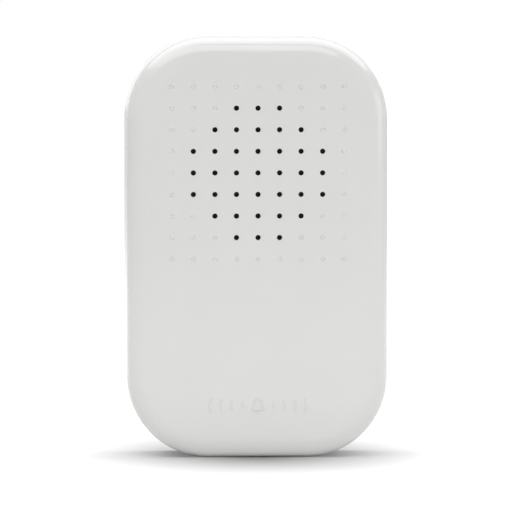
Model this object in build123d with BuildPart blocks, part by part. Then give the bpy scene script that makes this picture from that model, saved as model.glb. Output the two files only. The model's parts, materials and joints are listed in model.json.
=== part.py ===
"""Wired door chime: a white moulded case with a loudspeaker, a tune board and wire terminals.

Millimetres. X runs across the case, Y from the front (-Y) to the wall (+Y), Z up.
The origin is on the ground under the middle of the case, which stands on its bottom edge.
"""

import os
from math import asin, cos, radians, sin, sqrt, tan

from build123d import *

# Case
case_width = 77.0
case_height = 124.0
case_depth = 33.0
corner_radius = 24.0
edge_round = 5.8
side_wall = 2.2
face_wall = 2.2
seam_gap = 0.3

# Field of sound holes, counted by row from the top
grid_side = 9
grid_pitch = 6.35
hole_diameter = 1.55
through_counts = (0, 3, 5, 7, 7, 7, 5, 3, 0)
dimple_depth = 0.28
speaker_drop = 40.0

# Raised line work on the face: a bell between two sets of sound waves
emblem_height = 15.4
emblem_line = 0.45
emblem_relief = 0.25
bell_half_width = 1.9
bell_waist = 1.15
bell_skirt = -1.25
bell_shoulder = 0.55
bell_top = 2.0
bell_flare_radius = 7.6
clapper_radius = 0.6
wave_count = 4
wave_first = 4.4
wave_pitch = 3.1
wave_half_height = 1.0
wave_growth = 0.4
wave_bulge = 0.32

# Back of the case
plate_thickness = 2.2
lip_wall = 1.5
lip_height = 4.0
lip_gap = 0.3
wall_hole_diameter = 4.2
wall_hole_inset = 9.0
cable_hole_diameter = 10.0
cable_hole_drop = 9.5
back_rim = 3.0
back_recess = 0.6
wall_pad_diameter = 10.0
cable_pad_diameter = 16.0

# Pins on the back and the bosses on the cover that push onto them
pin_inset = 8.0
pin_diameter = 3.0
pin_engagement = 6.0
pin_root_diameter = 6.0
pin_clearance = 0.05
boss_diameter = 6.4
boss_gap = 0.3

# Loudspeaker
speaker_radius = 25.4
flange_thickness = 0.8
flange_width = 4.8
ear_radius = 4.0
ear_reach = 3.6
basket_sheet = 0.8
basket_depth = 9.0
basket_rim_depth = 2.6
basket_floor_radius = 15.0
basket_window_count = 4
basket_window_angle = 46.0
basket_bore_gap = 0.15
spider_seat_height = 1.0
spider_seat_width = 2.1
gasket_thickness = 1.2
gasket_width = 2.8
gasket_gap = 0.3
surround_flat = 1.2
surround_sheet = 0.4
cone_margin = 2.0
cone_sheet = 0.5
cone_lip = 1.3
cone_depth = 5.6
spider_sheet = 0.35
spider_waves = 3
spider_wave_height = 0.45
cap_radius = 9.0
cap_rise = 2.3
cap_sheet = 0.4
coil_inner_radius = 6.75
coil_wall = 0.4
coil_length = 10.4
coil_above_neck = 1.0
coil_gap = 0.3
glue_gap = 0.05
spider_gap = 0.1
top_plate_radius = 15.0
top_plate_thickness = 2.0
magnet_outer_radius = 16.0
magnet_inner_radius = 8.6
magnet_thickness = 6.0
yoke_radius = 15.0
yoke_thickness = 2.0
tab_width = 11.0
strip_height = 4.2
strip_thickness = 1.0
strip_margin = 0.5
tag_spacing = 6.0
tag_width = 2.4
tag_length = 6.0
tag_sheet = 0.4
fit_gap = 0.3

# Cover parts around the loudspeaker
rib_wall = 1.6
rib_height = 2.7
screen_thickness = 0.4
screen_gap = 0.3

# Posts and screws
post_diameter = 7.0
screw_diameter = 2.4
screw_head_diameter = 5.0
screw_head_height = 1.8
screw_head_round = 0.6
screw_length = 8.0
thread_clearance = 0.05
recess_width = 0.9
recess_depth = 1.0

# Tune board
board_width = 50.0
board_height = 28.0
board_gap = 1.6
board_thickness = 1.6
board_pillar_height = 4.5
board_pillar_diameter = 6.0
board_screw_inset = 3.5
board_corner_radius = 1.0
lead_radius = 0.3
lead_hole_radius = 0.45
lead_stub = 1.0

# Terminals, front to back from the face of the block
terminal_pitch = 5.08
terminal_height = 8.0
terminal_depth = 10.0
terminal_inset = 1.0
terminal_head_radius = 1.75
terminal_head_height = 1.6
terminal_head_inset = 0.6
terminal_head_clearance = 0.1
terminal_shank_radius = 1.2
terminal_collar = 0.7
cage_travel = 1.0
cage_width = 3.4
cage_length = 3.8
cage_wall = 0.5
cage_roof = 1.0
cage_floor = 0.8
cage_window = 2.8
cage_inset = 0.6
pocket_gap = 0.3
contact_inset = 0.9
contact_sheet = 0.6
contact_width = 2.0
contact_leg_width = 1.0
contact_leg_gap = 0.5
contact_hole_radius = 0.75

# Electronic components, across and up from the middle of the board
chip_size = (9.4, 6.4, 3.3)
chip_place = (-4.0, 3.6)
chip_standoff = 0.5
chip_leg_pitch = 2.54
chip_leg_width = 0.5
chip_leg_sheet = 0.3
chip_leg_row = 7.62
large_capacitor_radius = 3.15
large_capacitor_height = 11.0
large_capacitor_place = (14.5, -3.0)
small_capacitor_radius = 2.5
small_capacitor_height = 7.5
small_capacitor_place = (14.5, 5.2)
capacitor_lead_spacing = 2.5
capacitor_edge = 0.5
capacitor_foot = 1.0
capacitor_groove = 0.25
resistor_length = 6.3
resistor_radius = 1.15
resistor_waist = 0.9
resistor_bead = 1.6
resistor_slope = 0.4
resistor_places = ((-15.0, -6.0), (-15.0, -3.0), (-15.0, 0.0), (-15.0, 3.0))
diode_length = 5.2
diode_radius = 1.35
diode_end_round = 0.34
diode_place = (-15.0, 6.2)
axial_reach = 1.4
axial_bend = 0.6
transistor_radius = 2.35
transistor_flat = 1.1
transistor_height = 4.6
transistor_place = (7.0, 3.2)
transistor_standoff = 2.5
transistor_leg_pitch = 1.27

# Leads between the board and the loudspeaker
lead_wire_diameter = 1.2
lead_board_height = 11.6
lead_rise = 4.7
lead_end_run = 3.7
lead_bend_share = 0.45

# Levels worked out from the sizes above
back_y = case_depth / 2
front_y = -case_depth / 2
plate_front_y = back_y - plate_thickness
cover_rear_y = plate_front_y - seam_gap
cover_inner_y = front_y + face_wall
case_middle = case_height / 2
speaker_height = case_height - speaker_drop
board_middle = speaker_height - speaker_radius - board_gap - board_height / 2
board_bottom = board_middle - board_height / 2
terminal_bottom = board_bottom + terminal_inset
cable_hole_height = board_bottom - cable_hole_drop
rib_end_y = cover_inner_y + rib_height
gasket_front_y = rib_end_y + gasket_gap
flange_front_y = gasket_front_y + gasket_thickness
flange_rear_y = flange_front_y + flange_thickness
basket_rear_y = flange_front_y + basket_depth
basket_floor_y = basket_rear_y - basket_sheet
spider_seat_y = basket_floor_y - spider_seat_height
top_plate_rear_y = basket_rear_y + top_plate_thickness
magnet_rear_y = top_plate_rear_y + magnet_thickness
yoke_rear_y = magnet_rear_y + yoke_thickness
board_rear_y = plate_front_y - board_pillar_height
board_front_y = board_rear_y - board_thickness
terminal_front_y = board_front_y - terminal_depth
flange_inner_radius = speaker_radius - flange_width
gasket_inner_radius = speaker_radius - gasket_width
surround_rear_y = flange_front_y
surround_outer_radius = gasket_inner_radius - fit_gap
ear_circle_radius = speaker_radius + ear_reach
spider_seat_inner = basket_floor_radius - spider_seat_width
cone_lip_y = surround_rear_y
cone_neck_y = cone_lip_y + cone_depth
coil_front_y = cone_neck_y - coil_above_neck
coil_rear_y = coil_front_y + coil_length
coil_outer_radius = coil_inner_radius + coil_wall
pole_radius = coil_inner_radius - coil_gap
gap_radius = coil_outer_radius + coil_gap
basket_bore_radius = gap_radius + basket_bore_gap
cone_neck_radius = coil_outer_radius + glue_gap
cone_outer_radius = flange_inner_radius - cone_margin
surround_inner_radius = cone_outer_radius - surround_flat
strip_inner = max(magnet_outer_radius, top_plate_radius) + fit_gap
tab_reach = strip_inner + strip_height
strip_middle = speaker_height - strip_inner - strip_height / 2


def level(y):
    """Sketch plane across the case at depth y, with its normal towards the front."""
    return Plane.XZ.offset(-y)


def hole_points(through):
    """Centres of the sound holes, or of the dimples around them."""
    middle = (grid_side - 1) / 2
    points = []
    for row, count in enumerate(through_counts):
        for column in range(grid_side):
            inside = abs(column - middle) < count / 2
            if inside == through:
                across = (column - middle) * grid_pitch
                up = speaker_height + (middle - row) * grid_pitch
                points.append((across, up))
    return points


def ring_of(count, radius, middle, first_angle):
    """Points evenly spaced on a circle about (0, middle)."""
    points = []
    for index in range(count):
        turn = radians(first_angle + index * 360 / count)
        points.append((radius * cos(turn), middle + radius * sin(turn)))
    return points


pin_points = [
    (side * (case_width / 2 - pin_inset), height)
    for side in (-1, 1)
    for height in (corner_radius, case_height - corner_radius)
]
ear_points = ring_of(4, ear_circle_radius, speaker_height, 45)
board_screw_points = [
    (
        side * (board_width / 2 - board_screw_inset),
        board_middle + end * (board_height / 2 - board_screw_inset),
    )
    for side in (-1, 1)
    for end in (-1, 1)
]
wall_hole_points = [(0, wall_hole_inset), (0, case_height - wall_hole_inset)]
speaker_axis = Axis((0, 0, speaker_height), (0, 1, 0))
speaker_profile = Plane.XY.offset(speaker_height)

# Front cover: a deep shell with a rounded front edge, ribs, bosses, holes and line work
with BuildPart() as front_cover:
    with BuildSketch(level(cover_rear_y)):
        with Locations((0, case_middle)):
            RectangleRounded(case_width, case_height, corner_radius)
    extrude(amount=cover_rear_y - front_y)
    fillet(front_cover.faces().sort_by(Axis.Y)[0].edges(), edge_round)
    with BuildSketch(level(cover_rear_y)):
        with Locations((0, case_middle)):
            RectangleRounded(
                case_width - 2 * side_wall,
                case_height - 2 * side_wall,
                corner_radius - side_wall,
            )
    extrude(amount=cover_rear_y - cover_inner_y, mode=Mode.SUBTRACT)
    inner_face = front_cover.faces().filter_by(Axis.Y).sort_by(Axis.Y)[1]
    fillet(inner_face.edges(), edge_round - max(side_wall, face_wall))
    # Rib that the loudspeaker's gasket faces
    with BuildSketch(level(cover_inner_y)):
        with Locations((0, speaker_height)):
            Circle(gasket_inner_radius + rib_wall)
            Circle(gasket_inner_radius, mode=Mode.SUBTRACT)
    extrude(amount=-rib_height)
    # Bosses that push onto the pins
    boss_end_y = plate_front_y - (lip_height + boss_gap)
    with BuildSketch(level(cover_inner_y)):
        with Locations(*pin_points):
            Circle(boss_diameter / 2)
    extrude(amount=-(boss_end_y - cover_inner_y))
    with BuildSketch(level(boss_end_y)):
        with Locations(*pin_points):
            Circle(pin_diameter / 2 + pin_clearance)
    extrude(amount=pin_engagement + boss_gap, mode=Mode.SUBTRACT)
    # Sound holes
    with BuildSketch(level(cover_inner_y)):
        with Locations(*hole_points(True)):
            Circle(hole_diameter / 2)
    extrude(amount=face_wall, mode=Mode.SUBTRACT)
    # Dimples, each the cap of a ball
    ball_radius = ((hole_diameter / 2) ** 2 + dimple_depth**2) / (2 * dimple_depth)
    ball_y = front_y - (ball_radius - dimple_depth)
    with Locations(*[(x, ball_y, z) for x, z in hole_points(False)]):
        Sphere(ball_radius, mode=Mode.SUBTRACT)
    # Raised line work
    with BuildSketch(level(front_y)):
        with BuildLine(Location((0, emblem_height))):
            skirt_left = (-bell_half_width, bell_skirt)
            skirt_right = (bell_half_width, bell_skirt)
            shoulder_left = (-bell_waist, bell_shoulder)
            shoulder_right = (bell_waist, bell_shoulder)
            RadiusArc(skirt_left, shoulder_left, bell_flare_radius)
            ThreePointArc(shoulder_left, (0, bell_top), shoulder_right)
            RadiusArc(shoulder_right, skirt_right, bell_flare_radius)
            Line(skirt_right, skirt_left)
        trace(line_width=emblem_line)
        with BuildLine(Location((0, emblem_height))):
            CenterArc((0, bell_skirt), clapper_radius, 180, 180)
        trace(line_width=emblem_line)
        for side in (-1, 1):
            for index in range(wave_count):
                across = wave_first + index * wave_pitch
                half = wave_half_height + index * wave_growth
                with BuildLine(Location((0, emblem_height))):
                    ThreePointArc(
                        (side * across, -half),
                        (side * (across + wave_bulge * half), 0),
                        (side * across, half),
                    )
                trace(line_width=emblem_line)
    extrude(amount=emblem_relief)

# Black cloth behind the sound holes, glued to the inside of the face
with BuildPart() as dust_screen:
    with BuildSketch(level(cover_inner_y)):
        with Locations((0, speaker_height)):
            Circle(gasket_inner_radius - screen_gap)
    extrude(amount=-screen_thickness)

# Back of the case: wall plate with lip, pins, posts, pillars and openings
with BuildPart() as base_plate:
    with BuildSketch(level(back_y)):
        with Locations((0, case_middle)):
            RectangleRounded(case_width, case_height, corner_radius)
    extrude(amount=plate_thickness)
    lip_offset = side_wall + lip_gap
    with BuildSketch(level(plate_front_y)):
        with Locations((0, case_middle)):
            RectangleRounded(
                case_width - 2 * lip_offset,
                case_height - 2 * lip_offset,
                corner_radius - lip_offset,
            )
            RectangleRounded(
                case_width - 2 * (lip_offset + lip_wall),
                case_height - 2 * (lip_offset + lip_wall),
                corner_radius - lip_offset - lip_wall,
                mode=Mode.SUBTRACT,
            )
    extrude(amount=lip_height)
    # Pins with a thicker root
    with BuildSketch(level(plate_front_y)):
        with Locations(*pin_points):
            Circle(pin_root_diameter / 2)
    extrude(amount=lip_height)
    with BuildSketch(level(plate_front_y - lip_height)):
        with Locations(*pin_points):
            Circle(pin_diameter / 2)
    extrude(amount=pin_engagement)
    # Loudspeaker posts
    with BuildSketch(level(plate_front_y)):
        with Locations(*ear_points):
            Circle(post_diameter / 2)
    extrude(amount=plate_front_y - flange_rear_y)
    with BuildSketch(level(flange_rear_y)):
        with Locations(*ear_points):
            Circle(screw_diameter / 2 + thread_clearance)
    extrude(amount=-screw_length, mode=Mode.SUBTRACT)
    # Board pillars
    with BuildSketch(level(plate_front_y)):
        with Locations(*board_screw_points):
            Circle(board_pillar_diameter / 2)
    extrude(amount=board_pillar_height)
    with BuildSketch(level(board_rear_y)):
        with Locations(*board_screw_points):
            Circle(screw_diameter / 2 + thread_clearance)
    extrude(amount=-board_pillar_height, mode=Mode.SUBTRACT)
    # Shallow recess in the back, with pads left around the holes
    with BuildSketch(level(back_y)):
        with Locations((0, case_middle)):
            RectangleRounded(
                case_width - 2 * back_rim, case_height - 2 * back_rim, corner_radius - back_rim
            )
        with Locations(*wall_hole_points):
            Circle(wall_pad_diameter / 2, mode=Mode.SUBTRACT)
        with Locations((0, cable_hole_height)):
            Circle(cable_pad_diameter / 2, mode=Mode.SUBTRACT)
    extrude(amount=back_recess, mode=Mode.SUBTRACT)
    # Wall screw holes and cable entry
    with BuildSketch(level(back_y)):
        with Locations(*wall_hole_points):
            Circle(wall_hole_diameter / 2)
        with Locations((0, cable_hole_height)):
            Circle(cable_hole_diameter / 2)
    extrude(amount=plate_thickness, mode=Mode.SUBTRACT)

# Loudspeaker basket: pressed sheet with four ears, four windows and a tab for the tag strip
with BuildPart() as speaker_basket:
    with BuildSketch(speaker_profile):
        with BuildLine():
            Polyline(
                (flange_inner_radius, flange_front_y),
                (speaker_radius, flange_front_y),
                (speaker_radius, flange_rear_y),
                (flange_inner_radius + basket_sheet, flange_rear_y),
                (flange_inner_radius + basket_sheet, flange_front_y + basket_rim_depth),
                (basket_floor_radius + basket_sheet, basket_rear_y),
                (basket_bore_radius, basket_rear_y),
                (basket_bore_radius, basket_floor_y),
                (spider_seat_inner, basket_floor_y),
                (spider_seat_inner, spider_seat_y),
                (basket_floor_radius, spider_seat_y),
                (flange_inner_radius, flange_front_y + basket_rim_depth),
                close=True,
            )
        make_face()
    revolve(axis=speaker_axis)
    with BuildSketch(level(flange_rear_y)):
        with Locations(*ear_points):
            Circle(ear_radius)
        with Locations((0, speaker_height)):
            Circle(flange_inner_radius + basket_sheet, mode=Mode.SUBTRACT)
    extrude(amount=flange_thickness)
    with BuildSketch(level(flange_rear_y)):
        with Locations(*ear_points):
            Circle(screw_diameter / 2 + thread_clearance)
    extrude(amount=flange_thickness, mode=Mode.SUBTRACT)
    # Windows in the sloping wall
    window_inner = basket_floor_radius + basket_sheet
    window_outer = flange_inner_radius
    with BuildSketch(level(spider_seat_y)):
        for index in range(basket_window_count):
            middle_angle = index * 360 / basket_window_count
            with BuildLine(Location((0, speaker_height))):
                start = middle_angle - basket_window_angle / 2
                inner = CenterArc((0, 0), window_inner, start, basket_window_angle)
                outer = CenterArc((0, 0), window_outer, start, basket_window_angle)
                Line(inner @ 0, outer @ 0)
                Line(inner @ 1, outer @ 1)
            make_face()
    extrude(
        amount=spider_seat_y - (flange_front_y + basket_rim_depth), mode=Mode.SUBTRACT
    )
    # Tab under the tag strip
    with BuildSketch(level(basket_rear_y)):
        with Locations((0, speaker_height - (basket_floor_radius + tab_reach) / 2)):
            Rectangle(tab_width, tab_reach - basket_floor_radius + basket_sheet)
    extrude(amount=basket_sheet)

# Gasket ring on the front of the flange
with BuildPart() as speaker_gasket:
    with BuildSketch(level(flange_front_y)):
        with Locations((0, speaker_height)):
            Circle(speaker_radius)
            Circle(gasket_inner_radius, mode=Mode.SUBTRACT)
    extrude(amount=gasket_thickness)

# Surround: a half roll between a flat outer rim and a flat inner rim
with BuildPart() as speaker_surround:
    roll_outer = surround_outer_radius - surround_flat
    roll_inner = surround_inner_radius + surround_flat
    roll_middle = (roll_outer + roll_inner) / 2
    roll_radius = (roll_outer - roll_inner) / 2
    rim_front_y = surround_rear_y - surround_sheet
    with BuildSketch(speaker_profile):
        with BuildLine():
            Line((surround_outer_radius, surround_rear_y), (roll_outer, surround_rear_y))
            ThreePointArc(
                (roll_outer, surround_rear_y),
                (roll_middle, surround_rear_y - roll_radius),
                (roll_inner, surround_rear_y),
            )
            Line((roll_inner, surround_rear_y), (surround_inner_radius, surround_rear_y))
            Line((surround_inner_radius, surround_rear_y), (surround_inner_radius, rim_front_y))
            outer_roll = roll_radius + surround_sheet
            foot = sqrt(outer_roll**2 - surround_sheet**2)
            Line((surround_inner_radius, rim_front_y), (roll_middle - foot, rim_front_y))
            ThreePointArc(
                (roll_middle - foot, rim_front_y),
                (roll_middle, surround_rear_y - outer_roll),
                (roll_middle + foot, rim_front_y),
            )
            Line((roll_middle + foot, rim_front_y), (surround_outer_radius, rim_front_y))
            Line((surround_outer_radius, rim_front_y), (surround_outer_radius, surround_rear_y))
        make_face()
    revolve(axis=speaker_axis)

# Cone: thin paper from a flat lip down to the neck
with BuildPart() as speaker_cone:
    slope_outer = cone_outer_radius - cone_lip
    with BuildSketch(speaker_profile):
        with BuildLine():
            Polyline(
                (cone_outer_radius, cone_lip_y),
                (slope_outer, cone_lip_y),
                (cone_neck_radius, cone_neck_y - cone_sheet),
                (cone_neck_radius, cone_neck_y + cone_sheet),
                (slope_outer + cone_sheet, cone_lip_y + cone_sheet),
                (cone_outer_radius, cone_lip_y + cone_sheet),
                close=True,
            )
        make_face()
    revolve(axis=speaker_axis)

# Dust cap: a shallow dome seated on the cone
with BuildPart() as dust_cap:
    cone_slope = (cone_neck_y - cone_sheet - cone_lip_y) / (slope_outer - cone_neck_radius)
    cap_rim_y = cone_lip_y + (slope_outer - cap_radius) * cone_slope
    cap_ball = (cap_radius**2 + cap_rise**2) / (2 * cap_rise)
    with BuildSketch(speaker_profile):
        with BuildLine():
            Line((0, cap_rim_y - cap_rise), (0, cap_rim_y - cap_rise - cap_sheet))
            half_turn = asin(cap_radius / cap_ball) / 2
            outer_ball = cap_ball + cap_sheet
            ball_centre_y = cap_rim_y - cap_rise + cap_ball
            ThreePointArc(
                (0, cap_rim_y - cap_rise - cap_sheet),
                (outer_ball * sin(half_turn), ball_centre_y - outer_ball * cos(half_turn)),
                (cap_radius, ball_centre_y - sqrt(outer_ball**2 - cap_radius**2)),
            )
            Line(
                (cap_radius, ball_centre_y - sqrt(outer_ball**2 - cap_radius**2)),
                (cap_radius, cap_rim_y),
            )
            ThreePointArc(
                (cap_radius, cap_rim_y),
                (cap_ball * sin(half_turn), ball_centre_y - cap_ball * cos(half_turn)),
                (0, cap_rim_y - cap_rise),
            )
        make_face()
    revolve(axis=speaker_axis)

# Voice coil: the winding and its former as one tube
with BuildPart() as voice_coil:
    with BuildSketch(level(coil_rear_y)):
        with Locations((0, speaker_height)):
            Circle(coil_outer_radius)
            Circle(coil_inner_radius, mode=Mode.SUBTRACT)
    extrude(amount=coil_length)

# Spider: a corrugated cloth ring that centres the coil
with BuildPart() as speaker_spider:
    spider_inner = coil_outer_radius + spider_gap
    spider_outer = basket_floor_radius - fit_gap
    wave_length = (spider_seat_inner - spider_inner) / (spider_waves + 1)
    front_line = [(spider_inner, spider_seat_y - spider_sheet)]
    for index in range(2 * spider_waves + 1):
        lift = spider_wave_height if index % 2 else 0
        reach = spider_inner + wave_length * (index / 2 + 0.5)
        front_line.append((reach, spider_seat_y - spider_sheet - lift))
    front_line.append((spider_outer, spider_seat_y - spider_sheet))
    rear_line = [(radius, y + spider_sheet) for radius, y in reversed(front_line)]
    with BuildSketch(speaker_profile):
        with BuildLine():
            Polyline(*front_line, *rear_line, close=True)
        make_face()
    revolve(axis=speaker_axis)

# Magnet system: top plate, ferrite ring and yoke with its pole
with BuildPart() as speaker_top_plate:
    with BuildSketch(level(top_plate_rear_y)):
        with Locations((0, speaker_height)):
            Circle(top_plate_radius)
            Circle(gap_radius, mode=Mode.SUBTRACT)
    extrude(amount=top_plate_thickness)

with BuildPart() as speaker_magnet:
    with BuildSketch(level(magnet_rear_y)):
        with Locations((0, speaker_height)):
            Circle(magnet_outer_radius)
            Circle(magnet_inner_radius, mode=Mode.SUBTRACT)
    extrude(amount=magnet_thickness)

with BuildPart() as speaker_yoke:
    with BuildSketch(level(yoke_rear_y)):
        with Locations((0, speaker_height)):
            Circle(yoke_radius)
    extrude(amount=yoke_thickness)
    with BuildSketch(level(magnet_rear_y)):
        with Locations((0, speaker_height)):
            Circle(pole_radius)
    extrude(amount=magnet_rear_y - basket_rear_y)

# Tag strip and its two solder tags, on the rear of the basket's tab
with BuildPart() as speaker_tag_strip:
    with BuildSketch(level(basket_rear_y + strip_thickness)):
        with Locations((0, strip_middle)):
            Rectangle(tab_width - 2 * strip_margin, strip_height)
    extrude(amount=strip_thickness)

tag_rear_y = basket_rear_y + strip_thickness + tag_sheet
tag_points = [
    (side * tag_spacing / 2, speaker_height - strip_inner - strip_margin - tag_length / 2)
    for side in (-1, 1)
]
with BuildPart() as speaker_tags:
    with BuildSketch(level(tag_rear_y)):
        with Locations(*tag_points):
            Rectangle(tag_width, tag_length)
    extrude(amount=tag_sheet)


def pan_screws(points, seat_y, length):
    """Shanks, rounded heads and cross recesses of screws seated at seat_y."""
    with BuildPart() as screws:
        with BuildSketch(level(seat_y + length)):
            with Locations(*points):
                Circle(screw_diameter / 2)
        extrude(amount=length)
        with BuildSketch(level(seat_y)):
            with Locations(*points):
                Circle(screw_head_diameter / 2)
        extrude(amount=screw_head_height)
        head_faces = screws.faces().sort_by(Axis.Y)[0 : len(points)]
        fillet(head_faces.edges(), screw_head_round)
        with BuildSketch(level(seat_y - screw_head_height + recess_depth)):
            with Locations(*points):
                Rectangle(screw_head_diameter / 2, recess_width)
                Rectangle(recess_width, screw_head_diameter / 2)
        extrude(amount=recess_depth, mode=Mode.SUBTRACT)
    return screws


speaker_screws = pan_screws(ear_points, flange_front_y, screw_length)
board_screws = pan_screws(board_screw_points, board_front_y, board_pillar_height)


def on_board(place):
    """Case coordinates of a place given from the middle of the board."""
    return (place[0], board_middle + place[1])


# Places of the terminals and of every lead that goes through the board
terminal_points = [side * terminal_pitch / 2 for side in (-1, 1)]
contact_height = terminal_bottom + cage_inset + cage_length + contact_leg_gap
contact_leg_middle = contact_height + contact_sheet / 2
chip_leg_points = [
    on_board(
        (
            chip_place[0] + (index - 1.5) * chip_leg_pitch,
            chip_place[1] + side * chip_leg_row / 2,
        )
    )
    for side in (-1, 1)
    for index in range(4)
]
capacitor_lead_points = [
    on_board((place[0] + side * capacitor_lead_spacing / 2, place[1]))
    for place in (large_capacitor_place, small_capacitor_place)
    for side in (-1, 1)
]
transistor_leg_points = [
    on_board((transistor_place[0] + side * transistor_leg_pitch, transistor_place[1]))
    for side in (-1, 0, 1)
]
axial_parts = [(place, resistor_length) for place in resistor_places]
axial_parts.append((diode_place, diode_length))
axial_lead_points = [
    on_board((place[0] + side * (length / 2 + axial_reach), place[1]))
    for place, length in axial_parts
    for side in (-1, 1)
]

# Circuit board
with BuildPart() as circuit_board:
    with BuildSketch(level(board_rear_y)):
        with Locations((0, board_middle)):
            RectangleRounded(board_width, board_height, board_corner_radius)
        with Locations(*board_screw_points):
            Circle(screw_diameter / 2 + thread_clearance, mode=Mode.SUBTRACT)
        with Locations(*[(x, contact_leg_middle) for x in terminal_points]):
            Circle(contact_hole_radius, mode=Mode.SUBTRACT)
        with Locations(
            *chip_leg_points,
            *capacitor_lead_points,
            *transistor_leg_points,
            *axial_lead_points,
        ):
            Circle(lead_hole_radius, mode=Mode.SUBTRACT)
    extrude(amount=board_thickness)

# Terminal block: housing with screw bores, cage pockets open at the bottom, and leg slots
pocket_front_y = terminal_front_y + terminal_head_inset + terminal_head_height
pocket_front_y += terminal_head_clearance + terminal_collar
cage_roof_y = pocket_front_y + pocket_gap + cage_travel
cage_window_y = cage_roof_y + cage_roof
cage_floor_y = cage_window_y + cage_window
cage_rear_y = cage_floor_y + cage_floor
pocket_rear_y = cage_rear_y + pocket_gap
contact_front_y = cage_window_y + contact_inset
terminal_middle = terminal_bottom + terminal_height / 2
screw_height = terminal_bottom + cage_inset + cage_length / 2
with BuildPart() as terminal_block:
    with BuildSketch(level(board_front_y)):
        with Locations((0, terminal_middle)):
            Rectangle(2 * terminal_pitch, terminal_height)
    extrude(amount=terminal_depth)
    top_edges = terminal_block.faces().sort_by(Axis.Y)[0].edges().filter_by(Axis.X)
    chamfer(top_edges, terminal_head_inset)
    with BuildSketch(level(terminal_front_y)):
        with Locations(*[(x, screw_height) for x in terminal_points]):
            Circle(terminal_head_radius + terminal_head_clearance)
    extrude(
        amount=-(terminal_head_inset + terminal_head_height + terminal_head_clearance),
        mode=Mode.SUBTRACT,
    )
    with BuildSketch(level(terminal_front_y)):
        with Locations(*[(x, screw_height) for x in terminal_points]):
            Circle(terminal_shank_radius + terminal_head_clearance)
    extrude(amount=terminal_front_y - pocket_front_y, mode=Mode.SUBTRACT)
    pocket_top = contact_height + contact_sheet + pocket_gap
    with BuildSketch(level(pocket_rear_y)):
        with Locations(*[(x, (terminal_bottom + pocket_top) / 2) for x in terminal_points]):
            Rectangle(cage_width + 2 * pocket_gap, pocket_top - terminal_bottom)
    extrude(amount=pocket_rear_y - pocket_front_y, mode=Mode.SUBTRACT)
    with BuildSketch(level(board_front_y)):
        with Locations(*[(x, contact_leg_middle) for x in terminal_points]):
            Rectangle(
                contact_leg_width + pocket_gap, contact_sheet + pocket_gap
            )
    extrude(amount=board_front_y - pocket_rear_y, mode=Mode.SUBTRACT)

# Fixed contacts: a tongue through each cage and a leg through the board
contact_end_y = board_rear_y + lead_stub
with BuildPart() as terminal_contacts:
    tongue_bottom = terminal_bottom + cage_inset
    tongue_length = contact_height + contact_sheet - tongue_bottom
    with BuildSketch(level(contact_front_y + contact_sheet)):
        with Locations(*[(x, tongue_bottom + tongue_length / 2) for x in terminal_points]):
            Rectangle(contact_width, tongue_length)
    extrude(amount=contact_sheet)
    with BuildSketch(level(contact_end_y)):
        with Locations(*[(x, contact_leg_middle) for x in terminal_points]):
            Rectangle(contact_leg_width, contact_sheet)
    extrude(amount=contact_end_y - contact_front_y)


def clamp_cage(across):
    """Clamp cage: a square tube around the contact with a tapped roof."""
    middle = (across, screw_height)
    with BuildPart() as cage:
        with BuildSketch(level(cage_rear_y)):
            with Locations(middle):
                Rectangle(cage_width, cage_length)
        extrude(amount=cage_rear_y - cage_roof_y)
        with BuildSketch(level(cage_floor_y)):
            with Locations(middle):
                Rectangle(cage_width - 2 * cage_wall, cage_length)
        extrude(amount=cage_window, mode=Mode.SUBTRACT)
        with BuildSketch(level(cage_window_y)):
            with Locations(middle):
                Circle(terminal_shank_radius + thread_clearance)
        extrude(amount=cage_roof, mode=Mode.SUBTRACT)
    return cage


def clamp_screw(across):
    """Clamp screw: slotted cheese head, and a shank down through the cage's roof."""
    middle = (across, screw_height)
    head_front_y = terminal_front_y + terminal_head_inset
    head_rear_y = head_front_y + terminal_head_height
    shank_end_y = contact_front_y - pocket_gap
    with BuildPart() as screw:
        with BuildSketch(level(head_rear_y)):
            with Locations(middle):
                Circle(terminal_head_radius)
        extrude(amount=terminal_head_height)
        with BuildSketch(level(shank_end_y)):
            with Locations(middle):
                Circle(terminal_shank_radius)
        extrude(amount=shank_end_y - head_rear_y)
        with BuildSketch(level(head_front_y + recess_depth)):
            with Locations(middle):
                Rectangle(2 * terminal_head_radius, recess_width)
        extrude(amount=recess_depth, mode=Mode.SUBTRACT)
    return screw


terminal_cage_left = clamp_cage(terminal_points[0])
terminal_cage_right = clamp_cage(terminal_points[1])
terminal_screw_left = clamp_screw(terminal_points[0])
terminal_screw_right = clamp_screw(terminal_points[1])

# Tune chip, standing on its two rows of legs
chip_rear_y = board_front_y - chip_standoff
chip_middle_y = chip_rear_y - chip_size[2] / 2
with BuildPart() as melody_chip:
    with BuildSketch(level(chip_rear_y)):
        with Locations(on_board(chip_place)):
            Rectangle(chip_size[0], chip_size[1])
    extrude(amount=chip_size[2])
    long_edges = melody_chip.faces().sort_by(Axis.Y)[0].edges()
    chamfer(long_edges, chip_leg_sheet)

with BuildPart() as chip_legs:
    with BuildSketch(level(board_rear_y + lead_stub)):
        with Locations(*chip_leg_points):
            Rectangle(chip_leg_width, chip_leg_sheet)
    extrude(amount=board_rear_y + lead_stub - chip_middle_y)
    shoulder = (chip_leg_row - chip_size[1]) / 2 + chip_leg_sheet / 2
    for side in (-1, 1):
        row_points = [
            on_board(
                (
                    chip_place[0] + (index - 1.5) * chip_leg_pitch,
                    chip_place[1] + side * (chip_size[1] / 2 + shoulder / 2),
                )
            )
            for index in range(4)
        ]
        with BuildSketch(level(chip_middle_y)):
            with Locations(*row_points):
                Rectangle(chip_leg_width, shoulder)
        extrude(amount=chip_leg_sheet)


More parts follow.
